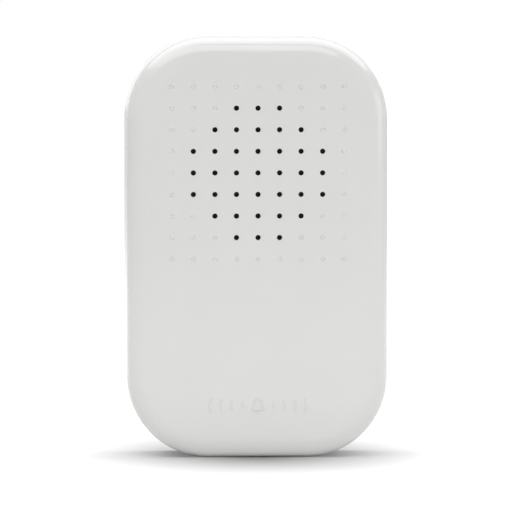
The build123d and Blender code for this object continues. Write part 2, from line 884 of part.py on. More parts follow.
def can_capacitor(place, radius, height):
    """Round can with a crimp near its foot, standing on the board."""
    middle_x, middle_z = on_board(place)
    foot_y = board_front_y
    groove_y = foot_y - capacitor_foot - capacitor_edge
    with BuildPart() as can:
        with BuildSketch(Plane.XY.offset(middle_z)):
            with BuildLine():
                Polyline(
                    (middle_x, foot_y),
                    (middle_x + radius, foot_y),
                    (middle_x + radius, foot_y - capacitor_foot),
                    (middle_x + radius - capacitor_groove, groove_y),
                    (middle_x + radius, groove_y - capacitor_edge),
                    (middle_x + radius, foot_y - height + capacitor_edge),
                    (middle_x + radius - capacitor_edge, foot_y - height),
                    (middle_x, foot_y - height),
                    close=True,
                )
            make_face()
        revolve(axis=Axis((middle_x, 0, middle_z), (0, 1, 0)))
    return can


large_capacitor = can_capacitor(
    large_capacitor_place, large_capacitor_radius, large_capacitor_height
)
small_capacitor = can_capacitor(
    small_capacitor_place, small_capacitor_radius, small_capacitor_height
)

# Driver transistor: a round body with a flat, standing on three legs
transistor_rear_y = board_front_y - transistor_standoff
with BuildPart() as driver_transistor:
    with BuildSketch(level(transistor_rear_y)):
        with Locations(on_board(transistor_place)):
            Circle(transistor_radius)
        with Locations(on_board((transistor_place[0], transistor_place[1] - transistor_radius))):
            Rectangle(
                2 * transistor_radius,
                2 * (transistor_radius - transistor_flat),
                mode=Mode.SUBTRACT,
            )
    extrude(amount=transistor_height)

# Straight leads under the capacitors and the transistor
with BuildPart() as component_leads:
    with BuildSketch(level(board_rear_y + lead_stub)):
        with Locations(*capacitor_lead_points):
            Circle(lead_radius)
    extrude(amount=board_thickness + lead_stub)
    with BuildSketch(level(board_rear_y + lead_stub)):
        with Locations(*transistor_leg_points):
            Circle(lead_radius)
    extrude(amount=board_rear_y + lead_stub - transistor_rear_y)


# Resistors: round bodies across the board, wider near both ends
with BuildPart() as resistors:
    resistor_y = board_front_y - resistor_radius - fit_gap
    resistor_end = -resistor_length / 2
    for place in resistor_places:
        middle_x, middle_z = on_board(place)
        with BuildSketch(Plane.XY.offset(middle_z)):
            with BuildLine():
                half_outline = (
                    (resistor_end, 0),
                    (resistor_end, resistor_waist),
                    (resistor_end + resistor_slope, resistor_radius),
                    (resistor_end + resistor_bead, resistor_radius),
                    (resistor_end + resistor_bead + resistor_slope, resistor_waist),
                )
                left = [(middle_x + x, resistor_y - r) for x, r in half_outline]
                right = [(middle_x - x, resistor_y - r) for x, r in reversed(half_outline)]
                Polyline(*left, *right, close=True)
            make_face()
        revolve(axis=Axis((0, resistor_y, middle_z), (1, 0, 0)))

# Diode: a plain round body with rounded ends
diode_x, diode_z = on_board(diode_place)
diode_y = board_front_y - diode_radius - fit_gap
with BuildPart() as diode:
    diode_end = Plane((diode_x - diode_length / 2, diode_y, diode_z), z_dir=(1, 0, 0))
    with BuildSketch(diode_end):
        Circle(diode_radius)
    extrude(amount=diode_length)
    fillet(diode.edges().filter_by(GeomType.CIRCLE), diode_end_round)

# Bent leads of the resistors and the diode
with BuildPart() as axial_leads:
    for place, length in axial_parts:
        body_radius = diode_radius if place == diode_place else resistor_radius
        axis_y = board_front_y - body_radius - fit_gap
        middle_x, middle_z = on_board(place)
        for side in (-1, 1):
            start_x = middle_x + side * length / 2
            corner_x = start_x + side * axial_reach
            with BuildLine():
                FilletPolyline(
                    (start_x, axis_y, middle_z),
                    (corner_x, axis_y, middle_z),
                    (corner_x, board_rear_y + lead_stub, middle_z),
                    radius=axial_bend,
                )
            with BuildSketch(Plane((start_x, axis_y, middle_z), z_dir=(side, 0, 0))):
                Circle(lead_radius)
            sweep()


def lead_route(side):
    """Corner points of a speaker lead, from the board's face to its solder tag."""
    start_x = side * tag_spacing / 2
    start_z = board_middle + lead_board_height
    tag_z = speaker_height - strip_inner - strip_margin - tag_length
    tag_y = tag_rear_y - tag_sheet / 2
    return (
        (start_x, board_front_y, start_z),
        (start_x, board_front_y - lead_rise, start_z),
        (start_x, tag_y, tag_z - lead_end_run),
        (start_x, tag_y, tag_z),
    )


def bend_radii(points):
    """Radius for each corner, from its shorter run and the tangent of half its turn."""
    radii = []
    for before, corner, after in zip(points, points[1:], points[2:]):
        run_in = Vector(*corner) - Vector(*before)
        run_out = Vector(*after) - Vector(*corner)
        half_turn = radians(run_in.get_angle(run_out)) / 2
        shorter = min(run_in.length, run_out.length)
        radii.append(lead_bend_share * shorter / tan(half_turn))
    return radii


def speaker_lead(side):
    """One insulated lead, swept along its route."""
    points = lead_route(side)
    radii = bend_radii(points)
    first_run = Vector(*points[1]) - Vector(*points[0])
    with BuildPart() as lead:
        with BuildLine() as route:
            FilletPolyline(*points, radius=radii)
        with BuildSketch(Plane(points[0], z_dir=first_run)) as section:
            Circle(lead_wire_diameter / 2)
        sweep()
    route_length = sum(edge.length for edge in route.line.edges())
    share = lead.part.volume / (section.sketch.area * route_length)
    print("lead bend radii", [round(radius, 1) for radius in radii])
    print("lead volume over section times length", round(share, 4))
    return lead


red_speaker_lead = speaker_lead(-1)
black_speaker_lead = speaker_lead(1)

pieces = {
    "front_cover": front_cover,
    "dust_screen": dust_screen,
    "base_plate": base_plate,
    "speaker_basket": speaker_basket,
    "speaker_gasket": speaker_gasket,
    "speaker_surround": speaker_surround,
    "speaker_cone": speaker_cone,
    "dust_cap": dust_cap,
    "voice_coil": voice_coil,
    "speaker_spider": speaker_spider,
    "speaker_top_plate": speaker_top_plate,
    "speaker_magnet": speaker_magnet,
    "speaker_yoke": speaker_yoke,
    "speaker_tag_strip": speaker_tag_strip,
    "speaker_tags": speaker_tags,
    "speaker_screws": speaker_screws,
    "circuit_board": circuit_board,
    "board_screws": board_screws,
    "terminal_block": terminal_block,
    "terminal_contacts": terminal_contacts,
    "terminal_cage_left": terminal_cage_left,
    "terminal_cage_right": terminal_cage_right,
    "terminal_screw_left": terminal_screw_left,
    "terminal_screw_right": terminal_screw_right,
    "melody_chip": melody_chip,
    "chip_legs": chip_legs,
    "large_capacitor": large_capacitor,
    "small_capacitor": small_capacitor,
    "driver_transistor": driver_transistor,
    "component_leads": component_leads,
    "resistors": resistors,
    "diode": diode,
    "axial_leads": axial_leads,
    "red_speaker_lead": red_speaker_lead,
    "black_speaker_lead": black_speaker_lead,
}
os.makedirs("parts", exist_ok=True)
for name, piece in pieces.items():
    piece.part.label = name
    export_step(piece.part, f"parts/{name}.step")
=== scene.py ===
"""Looks of the wired door chime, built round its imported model.

Metres. X runs across the case, Y from the front (-Y) to the wall (+Y), Z up. The chime
stands on its bottom edge, with the floor at height 0.
"""

from __future__ import annotations

import json
import logging
import math
from dataclasses import dataclass
from enum import Enum

import bmesh
import bpy
from bmesh.types import BMEdge, BMFace, BMVert
from bpy.types import Mesh, Node, NodeSocket, NodeTree, Object, ShaderNodeTree
from mathutils import Matrix, Vector


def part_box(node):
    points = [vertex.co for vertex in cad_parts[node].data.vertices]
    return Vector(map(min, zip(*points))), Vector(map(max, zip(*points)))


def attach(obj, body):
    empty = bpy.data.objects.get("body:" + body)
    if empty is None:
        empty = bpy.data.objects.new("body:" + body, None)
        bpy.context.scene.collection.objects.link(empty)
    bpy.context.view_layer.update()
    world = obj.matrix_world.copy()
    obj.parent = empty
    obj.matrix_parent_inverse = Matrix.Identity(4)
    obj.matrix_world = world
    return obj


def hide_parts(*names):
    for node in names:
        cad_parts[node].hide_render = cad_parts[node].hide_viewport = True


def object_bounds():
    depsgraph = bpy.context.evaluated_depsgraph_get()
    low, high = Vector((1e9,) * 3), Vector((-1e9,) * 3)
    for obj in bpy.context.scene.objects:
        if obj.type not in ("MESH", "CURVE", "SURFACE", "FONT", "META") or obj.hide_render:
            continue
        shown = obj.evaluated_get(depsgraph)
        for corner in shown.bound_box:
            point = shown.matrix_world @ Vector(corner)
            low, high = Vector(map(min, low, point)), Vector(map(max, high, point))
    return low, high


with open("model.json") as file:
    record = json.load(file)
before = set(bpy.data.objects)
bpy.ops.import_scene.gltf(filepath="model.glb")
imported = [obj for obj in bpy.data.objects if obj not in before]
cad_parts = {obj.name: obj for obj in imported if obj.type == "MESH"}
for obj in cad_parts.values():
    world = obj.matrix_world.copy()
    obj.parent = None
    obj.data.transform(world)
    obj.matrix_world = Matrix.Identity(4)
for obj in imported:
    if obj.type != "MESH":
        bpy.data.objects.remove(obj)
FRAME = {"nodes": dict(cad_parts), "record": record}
CAD_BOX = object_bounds()

LOG = logging.getLogger("door_chime")
MM = 0.001

Pair = tuple[float, float]
Colour = tuple[float, float, float]
Place = tuple[float, float, float]
WHITE: Colour = (1.0, 1.0, 1.0)

# Sizes that the cover and the back share
CORNER_RADIUS = 24.0 * MM
PIN_INSET = 8.0 * MM
SOUND_HEIGHT = 84.0 * MM

# How the meshes are made
CORNER_STEPS = 30
EDGE_STEPS = 3
SAME_LEVEL = 1e-6
SAME_POINT = 1e-7
FLAT_BELOW = math.radians(0.4)
SMOOTH_BELOW = math.radians(32.0)
ROUND_ABOVE = math.radians(35.0)
NORMAL_WEIGHT = 90

# How much the edges of the small pieces are rounded
USUAL_ROUND = 0.10 * MM
OTHER_ROUNDS = {
    "speaker_gasket": 0.25 * MM,
    "speaker_magnet": 0.30 * MM,
    "speaker_yoke": 0.25 * MM,
    "speaker_top_plate": 0.20 * MM,
    "terminal_block": 0.20 * MM,
    "melody_chip": 0.15 * MM,
    "dust_screen": 0.05 * MM,
    "speaker_spider": 0.03 * MM,
    "voice_coil": 0.05 * MM,
    "speaker_cone": 0.06 * MM,
    "dust_cap": 0.05 * MM,
    "speaker_surround": 0.05 * MM,
}


class Finish(Enum):
    """Material slots of the record that the pieces take their finish from."""

    GLOSS_WHITE = "gloss_white_abs"
    SATIN_WHITE = "white_abs"
    BLACK_CLOTH = "black_cloth"
    ZINC = "zinc_steel"
    FERRITE = "ferrite"
    CONE_PAPER = "cone_paper"
    SURROUND_CLOTH = "coated_cloth"
    SPIDER_CLOTH = "spider_cloth"
    GASKET_CARD = "gasket_card"
    COPPER = "copper_winding"
    PHENOLIC = "phenolic"
    BRASS = "brass_plate"
    LAMINATE = "board_laminate"
    GREEN_NYLON = "green_nylon"
    BLACK_RESIN = "black_resin"
    SLEEVE = "capacitor_sleeve"
    LACQUER = "resistor_lacquer"
    TINNED = "tinned_wire"
    RED_PVC = "red_pvc"
    BLACK_PVC = "black_pvc"


class NodeSheet:
    """A node tree with short calls for adding, setting and joining its nodes."""

    def __init__(self, tree: NodeTree) -> None:
        """Starts from a tree, which it empties."""
        self.tree = tree
        tree.nodes.clear()

    def add(self, kind: str, **settings: object) -> Node:
        """Adds a node.

        Args:
            kind: The node's type, without its ShaderNode prefix.
            **settings: Properties of the node, such as operation.

        Returns:
            The new node.
        """
        name = kind if kind.startswith("Node") else f"ShaderNode{kind}"
        node = self.tree.nodes.new(name)
        for key, value in settings.items():
            setattr(node, key, value)
        return node

    def put(self, target: NodeSocket, value: object) -> None:
        """Joins a socket to an input, or sets a plain value on it.

        Args:
            target: The input socket.
            value: An output socket, a number, a colour or a vector.
        """
        if isinstance(value, NodeSocket):
            self.tree.links.new(value, target)
        elif isinstance(value, tuple) and len(value) == 3 and target.type == "RGBA":
            target.default_value = (*value, 1.0)
        else:
            target.default_value = value

    def fill(self, node: Node, **values: object) -> Node:
        """Sets inputs of a node.

        Args:
            node: The node.
            **values: What goes into them, by the input's name with underscores for spaces.

        Returns:
            The node.
        """
        for key, value in values.items():
            self.put(node.inputs[key.replace("_", " ")], value)
        return node

    def math(self, operation: str, *values: object) -> NodeSocket:
        """Adds a Math node.

        Args:
            operation: The node's operation.
            *values: Its inputs in order.

        Returns:
            The result.
        """
        node = self.add("Math", operation=operation)
        for socket, value in zip(node.inputs, values):
            self.put(socket, value)
        return node.outputs[0]

    def away(self, value: object, centre: float) -> NodeSocket:
        """Distance of a number from another one."""
        return self.math("ABSOLUTE", self.math("SUBTRACT", value, centre))

    def remap(
        self, value: object, low: float, high: float, to_low: float = 0.0, to_high: float = 1.0
    ) -> NodeSocket:
        """Maps a range of numbers to another one, clamped.

        Args:
            value: What is mapped.
            low: Start of the range.
            high: End of the range.
            to_low: What the start becomes.
            to_high: What the end becomes.

        Returns:
            The mapped number.
        """
        node = self.add("MapRange")
        for socket, number in zip(node.inputs, (value, low, high, to_low, to_high)):
            self.put(socket, number)
        return node.outputs[0]

    def mix(self, share: object, first: object, second: object) -> NodeSocket:
        """Mixes two colours.

        Args:
            share: 0 for the first, 1 for the second.
            first: A colour.
            second: A colour.

        Returns:
            The mixed colour.
        """
        node = self.add("Mix", data_type="RGBA")
        self.put(node.inputs["Factor"], share)
        self.put(node.inputs[6], first)
        self.put(node.inputs[7], second)
        return node.outputs[2]

    def noise(
        self, place: object, scale: object, detail: float = 2.0, roughness: float = 0.5
    ) -> NodeSocket:
        """Adds a noise texture.

        Args:
            place: The coordinates that it reads.
            scale: Waves per metre.
            detail: Octaves.
            roughness: Share of the finer octaves.

        Returns:
            The noise, from 0 to 1.
        """
        node = self.add("TexNoise")
        self.fill(node, Vector=place, Scale=scale, Detail=detail, Roughness=roughness)
        return node.outputs["Fac"]

    def place(self) -> NodeSocket:
        """Object coordinates, in metres."""
        return self.add("TexCoord").outputs["Object"]

    def normal(self) -> NodeSocket:
        """Direction that the surface faces, in object coordinates."""
        return self.add("TexCoord").outputs["Normal"]

    def axes(self, place: object) -> tuple[NodeSocket, ...]:
        """Splits a vector.

        Args:
            place: The vector.

        Returns:
            Its x, y and z.
        """
        node = self.add("SeparateXYZ")
        self.put(node.inputs[0], place)
        return tuple(node.outputs)

    def stretched(self, place: object, scale: Place) -> NodeSocket:
        """Stretches coordinates by a factor along each axis."""
        return self.fill(self.add("Mapping"), Vector=place, Scale=scale).outputs[0]


class SurfaceEffects:
    """Node groups for effects that several finishes share, each built once."""

    def __init__(self) -> None:
        """Builds every group."""
        self.moulded_skin = self._moulded_skin()
        self.settled_dust = self._settled_dust()
        self.woven = self._woven()
        self.fibres = self._fibres()
        self.sheet_metal = self._sheet_metal()

    def _group(
        self, name: str, inputs: dict[str, float], outputs: tuple[str, ...]
    ) -> tuple[NodeSheet, Node, Node]:
        """Starts a node group of plain numbers.

        Args:
            name: Name of the group.
            inputs: Names of the inputs with their defaults.
            outputs: Names of the outputs.

        Returns:
            The sheet, the input node and the output node.
        """
        tree = bpy.data.node_groups.new(name, "ShaderNodeTree")
        for key, value in inputs.items():
            socket = tree.interface.new_socket(key, in_out="INPUT", socket_type="NodeSocketFloat")
            socket.default_value = value
        for key in outputs:
            tree.interface.new_socket(key, in_out="OUTPUT", socket_type="NodeSocketFloat")
        sheet = NodeSheet(tree)
        return sheet, sheet.add("NodeGroupInput"), sheet.add("NodeGroupOutput")

    def _moulded_skin(self) -> ShaderNodeTree:
        """Fine peel and slow waviness of a moulded plastic skin.

        Returns:
            The group.
        """
        sheet, given, made = self._group(
            "moulded_skin", {"Peel Size": 0.0012, "Wave Size": 0.02}, ("Height", "Cloud")
        )
        place = sheet.place()
        peel = sheet.noise(place, sheet.math("DIVIDE", 1.0, given.outputs["Peel Size"]), 1.0)
        wave = sheet.noise(place, sheet.math("DIVIDE", 1.0, given.outputs["Wave Size"]), 3.0)
        sheet.fill(made, Height=sheet.math("MULTIPLY_ADD", peel, 0.35, wave), Cloud=wave)
        return sheet.tree

    def _settled_dust(self) -> ShaderNodeTree:
        """Dust that lies on what faces up.

        Returns:
            The group.
        """
        sheet, given, made = self._group("settled_dust", {"Amount": 0.3}, ("Mask",))
        lying = sheet.remap(sheet.axes(sheet.normal())[2], 0.5, 1.0)
        patches = sheet.remap(sheet.noise(sheet.place(), 260.0, 6.0, 0.7), 0.35, 0.75)
        dusty = sheet.math("MULTIPLY", lying, patches)
        sheet.fill(made, Mask=sheet.math("MULTIPLY", dusty, given.outputs["Amount"]))
        return sheet.tree

    def _woven(self) -> ShaderNodeTree:
        """Over and under threads of a plain weave across X and Z.

        Returns:
            The group.
        """
        sheet, given, made = self._group("woven", {"Pitch": 0.0004}, ("Height", "Gap"))
        x, _, z = sheet.axes(sheet.place())
        turns = sheet.math("DIVIDE", math.tau, given.outputs["Pitch"])
        across = sheet.math("SINE", sheet.math("MULTIPLY", x, turns))
        up = sheet.math("SINE", sheet.math("MULTIPLY", z, turns))
        height = sheet.remap(sheet.math("MULTIPLY", across, up), -1.0, 1.0)
        threads = sheet.math("MAXIMUM", sheet.math("ABSOLUTE", across), sheet.math("ABSOLUTE", up))
        sheet.fill(made, Height=height, Gap=sheet.remap(threads, 0.35, 0.75, 1.0, 0.0))
        return sheet.tree

    def _fibres(self) -> ShaderNodeTree:
        """Short tangled fibres of pulp, card and fibre board.

        Returns:
            The group.
        """
        sheet, given, made = self._group("fibres", {"Length": 0.0012}, ("Height", "Fleck"))
        place = sheet.place()
        scale = sheet.math("DIVIDE", 1.0, given.outputs["Length"])
        long_way = sheet.noise(sheet.stretched(place, (1.0, 1.0, 4.0)), scale, 6.0)
        cross_way = sheet.noise(sheet.stretched(place, (4.0, 1.0, 1.0)), scale, 6.0)
        height = sheet.math("MAXIMUM", long_way, cross_way)
        sheet.fill(made, Height=height, Fleck=sheet.remap(height, 0.6, 0.72))
        return sheet.tree

    def _sheet_metal(self) -> ShaderNodeTree:
        """Faint rolling lines, cloudiness and handling marks of plated sheet metal.

        Returns:
            The group.
        """
        sheet, _, made = self._group("sheet_metal", {}, ("Height", "Cloud", "Marks"))
        place = sheet.place()
        lines = sheet.noise(sheet.stretched(place, (1.0, 1.0, 40.0)), 150.0, 3.0)
        cloud = sheet.noise(place, 180.0, 4.0, 0.6)
        marks = sheet.remap(sheet.noise(place, 900.0, 3.0, 0.8), 0.58, 0.66)
        sheet.fill(made, Height=lines, Cloud=cloud, Marks=marks)
        return sheet.tree


class Material:
    """A Principled material that effects are wired into."""

    def __init__(self, name: str) -> None:
        """Makes the material with its shader and output.

        Args:
            name: Name of the material.
        """
        self.data = bpy.data.materials.new(name)
        self.data.use_nodes = True
        self.sheet = NodeSheet(self.data.node_tree)
        self.shader = self.sheet.add("BsdfPrincipled")
        self.sheet.fill(self.sheet.add("OutputMaterial"), Surface=self.shader.outputs["BSDF"])

    def set(self, **values: object) -> None:
        """Sets inputs of the shader, named with underscores for spaces."""
        self.sheet.fill(self.shader, **values)

    def effect(self, group: ShaderNodeTree, **values: object) -> Node:
        """Places a shared effect and sets its inputs, named with underscores for spaces."""
        return self.sheet.fill(self.sheet.add("Group", node_tree=group), **values)

    def bump(self, height: object, depth: float) -> None:
        """Adds relief to the surface. A height of 1 measures the depth, in metres."""
        relief = self.sheet.fill(self.sheet.add("Bump"), Strength=1.0, Distance=depth, Height=height)
        self.set(Normal=relief.outputs["Normal"])


@dataclass(frozen=True)
class Recipe:
    """A finish for one material slot."""

    slot: Finish

    def wire(self, made: Material, effects: SurfaceEffects) -> None:
        """Wires the finish. Each kind of finish has its own way."""
        raise NotImplementedError

    def build(self, effects: SurfaceEffects) -> bpy.types.Material:
        """Makes the material.

        Args:
            effects: The shared effects.

        Returns:
            The material.
        """
        made = Material(self.slot.value)
        self.wire(made, effects)
        return made.data


@dataclass(frozen=True)
class MouldedPlastic(Recipe):
    """Moulded white plastic, glossy or satin."""

    colour: Colour
    shade: Colour
    roughness: float
    coat: float
    peel: float
    dust: float

    def wire(self, made: Material, effects: SurfaceEffects) -> None:
        """Wires the finish.

        Args:
            made: Its material.
            effects: The shared effects.
        """
        sheet = made.sheet
        skin = made.effect(effects.moulded_skin, Peel_Size=0.0009, Wave_Size=0.012)
        dust = made.effect(effects.settled_dust, Amount=self.dust)
        place = sheet.place()
        tone = sheet.remap(sheet.noise(place, 45.0, 3.0), 0.3, 0.7)
        body = sheet.mix(tone, self.colour, self.shade)
        smears = sheet.remap(sheet.noise(place, 70.0, 5.0, 0.7), 0.45, 0.75, 0.0, 0.05)
        rough = sheet.math("ADD", smears, self.roughness)
        dusty = sheet.math("MULTIPLY_ADD", dust.outputs["Mask"], 0.4, rough)
        made.set(
            Base_Color=sheet.mix(dust.outputs["Mask"], body, (0.50, 0.48, 0.45)),
            Roughness=dusty,
            IOR=1.53,
            Coat_Weight=self.coat,
            Coat_Roughness=0.04,
        )
        made.bump(skin.outputs["Height"], self.peel)


@dataclass(frozen=True)
class PlatedMetal(Recipe):
    """Sheet or turned metal with a thin bright plating."""

    colour: Colour
    tarnish: Colour
    roughness: float
    marks: float

    def wire(self, made: Material, effects: SurfaceEffects) -> None:
        """Wires the finish.

        Args:
            made: Its material.
            effects: The shared effects.
        """
        sheet = made.sheet
        sheet_metal = made.effect(effects.sheet_metal)
        cloud = sheet.remap(sheet_metal.outputs["Cloud"], 0.3, 0.75)
        colour = sheet.mix(cloud, self.colour, self.tarnish)
        marked = sheet.math("MULTIPLY", sheet_metal.outputs["Marks"], self.marks)
        rough = sheet.math("MULTIPLY_ADD", cloud, 0.12, self.roughness)
        made.set(
            Base_Color=sheet.mix(marked, colour, self.tarnish),
            Metallic=1.0,
            Roughness=sheet.math("MULTIPLY_ADD", marked, 0.2, rough),
        )
        made.bump(sheet_metal.outputs["Height"], 0.00002)


@dataclass(frozen=True)
class FibrousSheet(Recipe):
    """Paper, card or fibre board with visible fibres."""

    colour: Colour
    fleck: Colour
    roughness: float
    fibre: float
    relief: float

    def wire(self, made: Material, effects: SurfaceEffects) -> None:
        """Wires the finish.

        Args:
            made: Its material.
            effects: The shared effects.
        """
        sheet = made.sheet
        fibres = made.effect(effects.fibres, Length=self.fibre)
        cloud = sheet.remap(sheet.noise(sheet.place(), 220.0, 4.0), 0.35, 0.7, 0.0, 0.5)
        base = sheet.mix(cloud, self.colour, self.fleck)
        made.set(
            Base_Color=sheet.mix(fibres.outputs["Fleck"], base, self.fleck),
            Roughness=sheet.math("MULTIPLY_ADD", fibres.outputs["Height"], 0.2, self.roughness),
            Sheen_Weight=0.25,
        )
        made.bump(fibres.outputs["Height"], self.relief)


@dataclass(frozen=True)
class WovenCloth(Recipe):
    """Plain woven cloth, open or coated."""

    thread: Colour
    gap: Colour
    roughness: float
    pitch: float
    relief: float

    def wire(self, made: Material, effects: SurfaceEffects) -> None:
        """Wires the finish.

        Args:
            made: Its material.
            effects: The shared effects.
        """
        sheet = made.sheet
        weave = made.effect(effects.woven, Pitch=self.pitch)
        made.set(
            Base_Color=sheet.mix(weave.outputs["Gap"], self.thread, self.gap),
            Roughness=sheet.math("MULTIPLY_ADD", weave.outputs["Gap"], 0.15, self.roughness),
            Sheen_Weight=0.3,
        )
        made.bump(weave.outputs["Height"], self.relief)


@dataclass(frozen=True)
class PlainPlastic(Recipe):
    """Coloured plastic, resin, sleeve or wire covering."""

    colour: Colour
    wear: Colour
    roughness: float
    grain: float
    relief: float

    def wire(self, made: Material, effects: SurfaceEffects) -> None:
        """Wires the finish.

        Args:
            made: Its material.
            effects: The shared effects.
        """
        sheet = made.sheet
        skin = made.effect(effects.moulded_skin, Peel_Size=self.grain, Wave_Size=0.006)
        cloud = sheet.remap(skin.outputs["Cloud"], 0.4, 0.7)
        made.set(
            Base_Color=sheet.mix(cloud, self.colour, self.wear),
            Roughness=sheet.math("MULTIPLY_ADD", cloud, 0.12, self.roughness),
            IOR=1.5,
        )
        made.bump(skin.outputs["Height"], self.relief)


@dataclass(frozen=True)
class Ferrite(Recipe):
    """Sintered magnet: dark grey, ground flat, with small chips."""

    slot: Finish = Finish.FERRITE
    colour: Colour = (0.045, 0.045, 0.048)
    chip: Colour = (0.11, 0.11, 0.115)

    def wire(self, made: Material, effects: SurfaceEffects) -> None:
        """Wires the finish.

        Args:
            made: Its material.
            effects: The shared effects; not used by this finish.
        """
        sheet = made.sheet
        place = sheet.place()
        grain = sheet.noise(place, 2600.0, 3.0, 0.7)
        chips = sheet.remap(sheet.noise(place, 420.0, 5.0, 0.75), 0.6, 0.64)
        made.set(
            Base_Color=sheet.mix(chips, self.colour, self.chip),
            Roughness=sheet.math("MULTIPLY_ADD", chips, 0.2, 0.48),
            Specular_IOR_Level=0.6,
        )
        made.bump(sheet.math("SUBTRACT", grain, chips), 0.00004)


@dataclass(frozen=True)
class CoilWinding(Recipe):
    """Fine enamelled copper wire wound round the former, one turn beside the other."""

    slot: Finish = Finish.COPPER
    colour: Colour = (0.60, 0.22, 0.08)
    groove: Colour = (0.20, 0.06, 0.02)
    wire_width: float = 0.0002

    def wire(self, made: Material, effects: SurfaceEffects) -> None:
        """Wires the finish.

        Args:
            made: Its material.
            effects: The shared effects.
        """
        sheet = made.sheet
        _, along, _ = sheet.axes(sheet.place())
        turn = sheet.math("FRACT", sheet.math("DIVIDE", along, self.wire_width))
        groove = sheet.remap(sheet.away(turn, 0.5), 0.3, 0.5)
        sheet_metal = made.effect(effects.sheet_metal)
        made.set(
            Base_Color=sheet.mix(groove, self.colour, self.groove),
            Metallic=0.85,
            Roughness=sheet.math("MULTIPLY_ADD", sheet_metal.outputs["Cloud"], 0.2, 0.22),
            Coat_Weight=0.4,
        )
        made.bump(sheet.math("SUBTRACT", 1.0, groove), 0.00006)


@dataclass(frozen=True)
class BoardLaminate(Recipe):
    """Green lacquered board with copper tracks under the lacquer."""

    slot: Finish = Finish.LAMINATE
    lacquer: Colour = (0.012, 0.13, 0.045)
    track: Colour = (0.018, 0.165, 0.058)
    edge: Colour = (0.42, 0.38, 0.20)
    track_run: float = 0.0127
    track_pitch: float = 0.00254
    track_width: float = 0.0007

    def wire(self, made: Material, effects: SurfaceEffects) -> None:
        """Wires the finish.

        Args:
            made: Its material.
            effects: The shared effects.
        """
        sheet = made.sheet
        x, _, z = sheet.axes(sheet.place())
        flat = sheet.fill(sheet.add("CombineXYZ"), X=x, Y=z)
        runs = sheet.fill(
            sheet.add("TexBrick", offset=0.37, squash=1.6, squash_frequency=3),
            Vector=flat.outputs[0], Scale=1.0, Mortar_Size=self.track_width / 2, Mortar_Smooth=0.1,
            Brick_Width=self.track_run, Row_Height=self.track_pitch,
        )
        tracks = runs.outputs["Fac"]
        facing = sheet.axes(sheet.normal())[1]
        on_face = sheet.remap(sheet.math("ABSOLUTE", facing), 0.4, 0.6)
        painted = sheet.mix(tracks, self.lacquer, self.track)
        weave = made.effect(effects.woven, Pitch=0.0007)
        made.set(
            Base_Color=sheet.mix(on_face, self.edge, painted),
            Roughness=sheet.remap(on_face, 0.0, 1.0, 0.7, 0.28),
            Coat_Weight=sheet.math("MULTIPLY", on_face, 0.5),
            IOR=1.52,
        )
        made.bump(sheet.math("MULTIPLY_ADD", weave.outputs["Height"], 0.15, tracks), 0.00004)


@dataclass(frozen=True)
class BandedLacquer(Recipe):
    """Beige lacquered resistor body with four painted rings."""

    slot: Finish = Finish.LACQUER
    body: Colour = (0.62, 0.46, 0.27)
    rings: tuple[tuple[float, Colour], ...] = (
        (-0.0024, (0.25, 0.09, 0.03)),
        (-0.0011, (0.01, 0.01, 0.01)),
        (0.0, (0.75, 0.18, 0.02)),
        (0.0023, (0.55, 0.38, 0.10)),
    )
    middle: float = -0.015
    half_ring: float = 0.00032

    def wire(self, made: Material, effects: SurfaceEffects) -> None:
        """Wires the finish.

        Args:
            made: Its material.
            effects: The shared effects.
        """
        sheet = made.sheet
        across = sheet.axes(sheet.place())[0]
        colour: object = self.body
        for offset, paint in self.rings:
            ring = sheet.math(
                "LESS_THAN", sheet.away(across, self.middle + offset), self.half_ring
            )
            colour = sheet.mix(ring, colour, paint)
        skin = made.effect(effects.moulded_skin, Peel_Size=0.0005, Wave_Size=0.002)
        made.set(
            Base_Color=colour,
            Roughness=sheet.math("MULTIPLY_ADD", skin.outputs["Cloud"], 0.15, 0.25),
            Coat_Weight=0.3,
        )
        made.bump(skin.outputs["Height"], 0.00003)


@dataclass(frozen=True)
class CapacitorSleeve(Recipe):
    """Shrunk dark sleeve over a can, with a pale stripe and a bare scored top."""

    slot: Finish = Finish.SLEEVE
    sleeve: Colour = (0.01, 0.012, 0.05)
    stripe: Colour = (0.50, 0.52, 0.55)
    can: Colour = (0.75, 0.75, 0.76)
    middle: float = 0.0145
    stripe_width: float = 0.0011
    top_share: float = 0.93

    def wire(self, made: Material, effects: SurfaceEffects) -> None:
        """Wires the finish.

        Args:
            made: Its material.
            effects: The shared effects.
        """
        sheet = made.sheet
        across = sheet.axes(sheet.place())[0]
        _, facing, up = sheet.axes(sheet.normal())
        top = sheet.math("LESS_THAN", facing, -self.top_share)
        stripe = sheet.math("LESS_THAN", sheet.away(across, self.middle), self.stripe_width)
        above = sheet.math("GREATER_THAN", up, 0.0)
        painted = sheet.mix(sheet.math("MULTIPLY", stripe, above), self.sleeve, self.stripe)
        skin = made.effect(effects.moulded_skin, Peel_Size=0.0008, Wave_Size=0.003)
        made.set(
            Base_Color=sheet.mix(top, painted, self.can),
            Metallic=sheet.math("MULTIPLY", top, 0.9),
            Roughness=sheet.math("MULTIPLY_ADD", skin.outputs["Cloud"], 0.15, 0.22),
        )
        made.bump(skin.outputs["Height"], 0.00004)


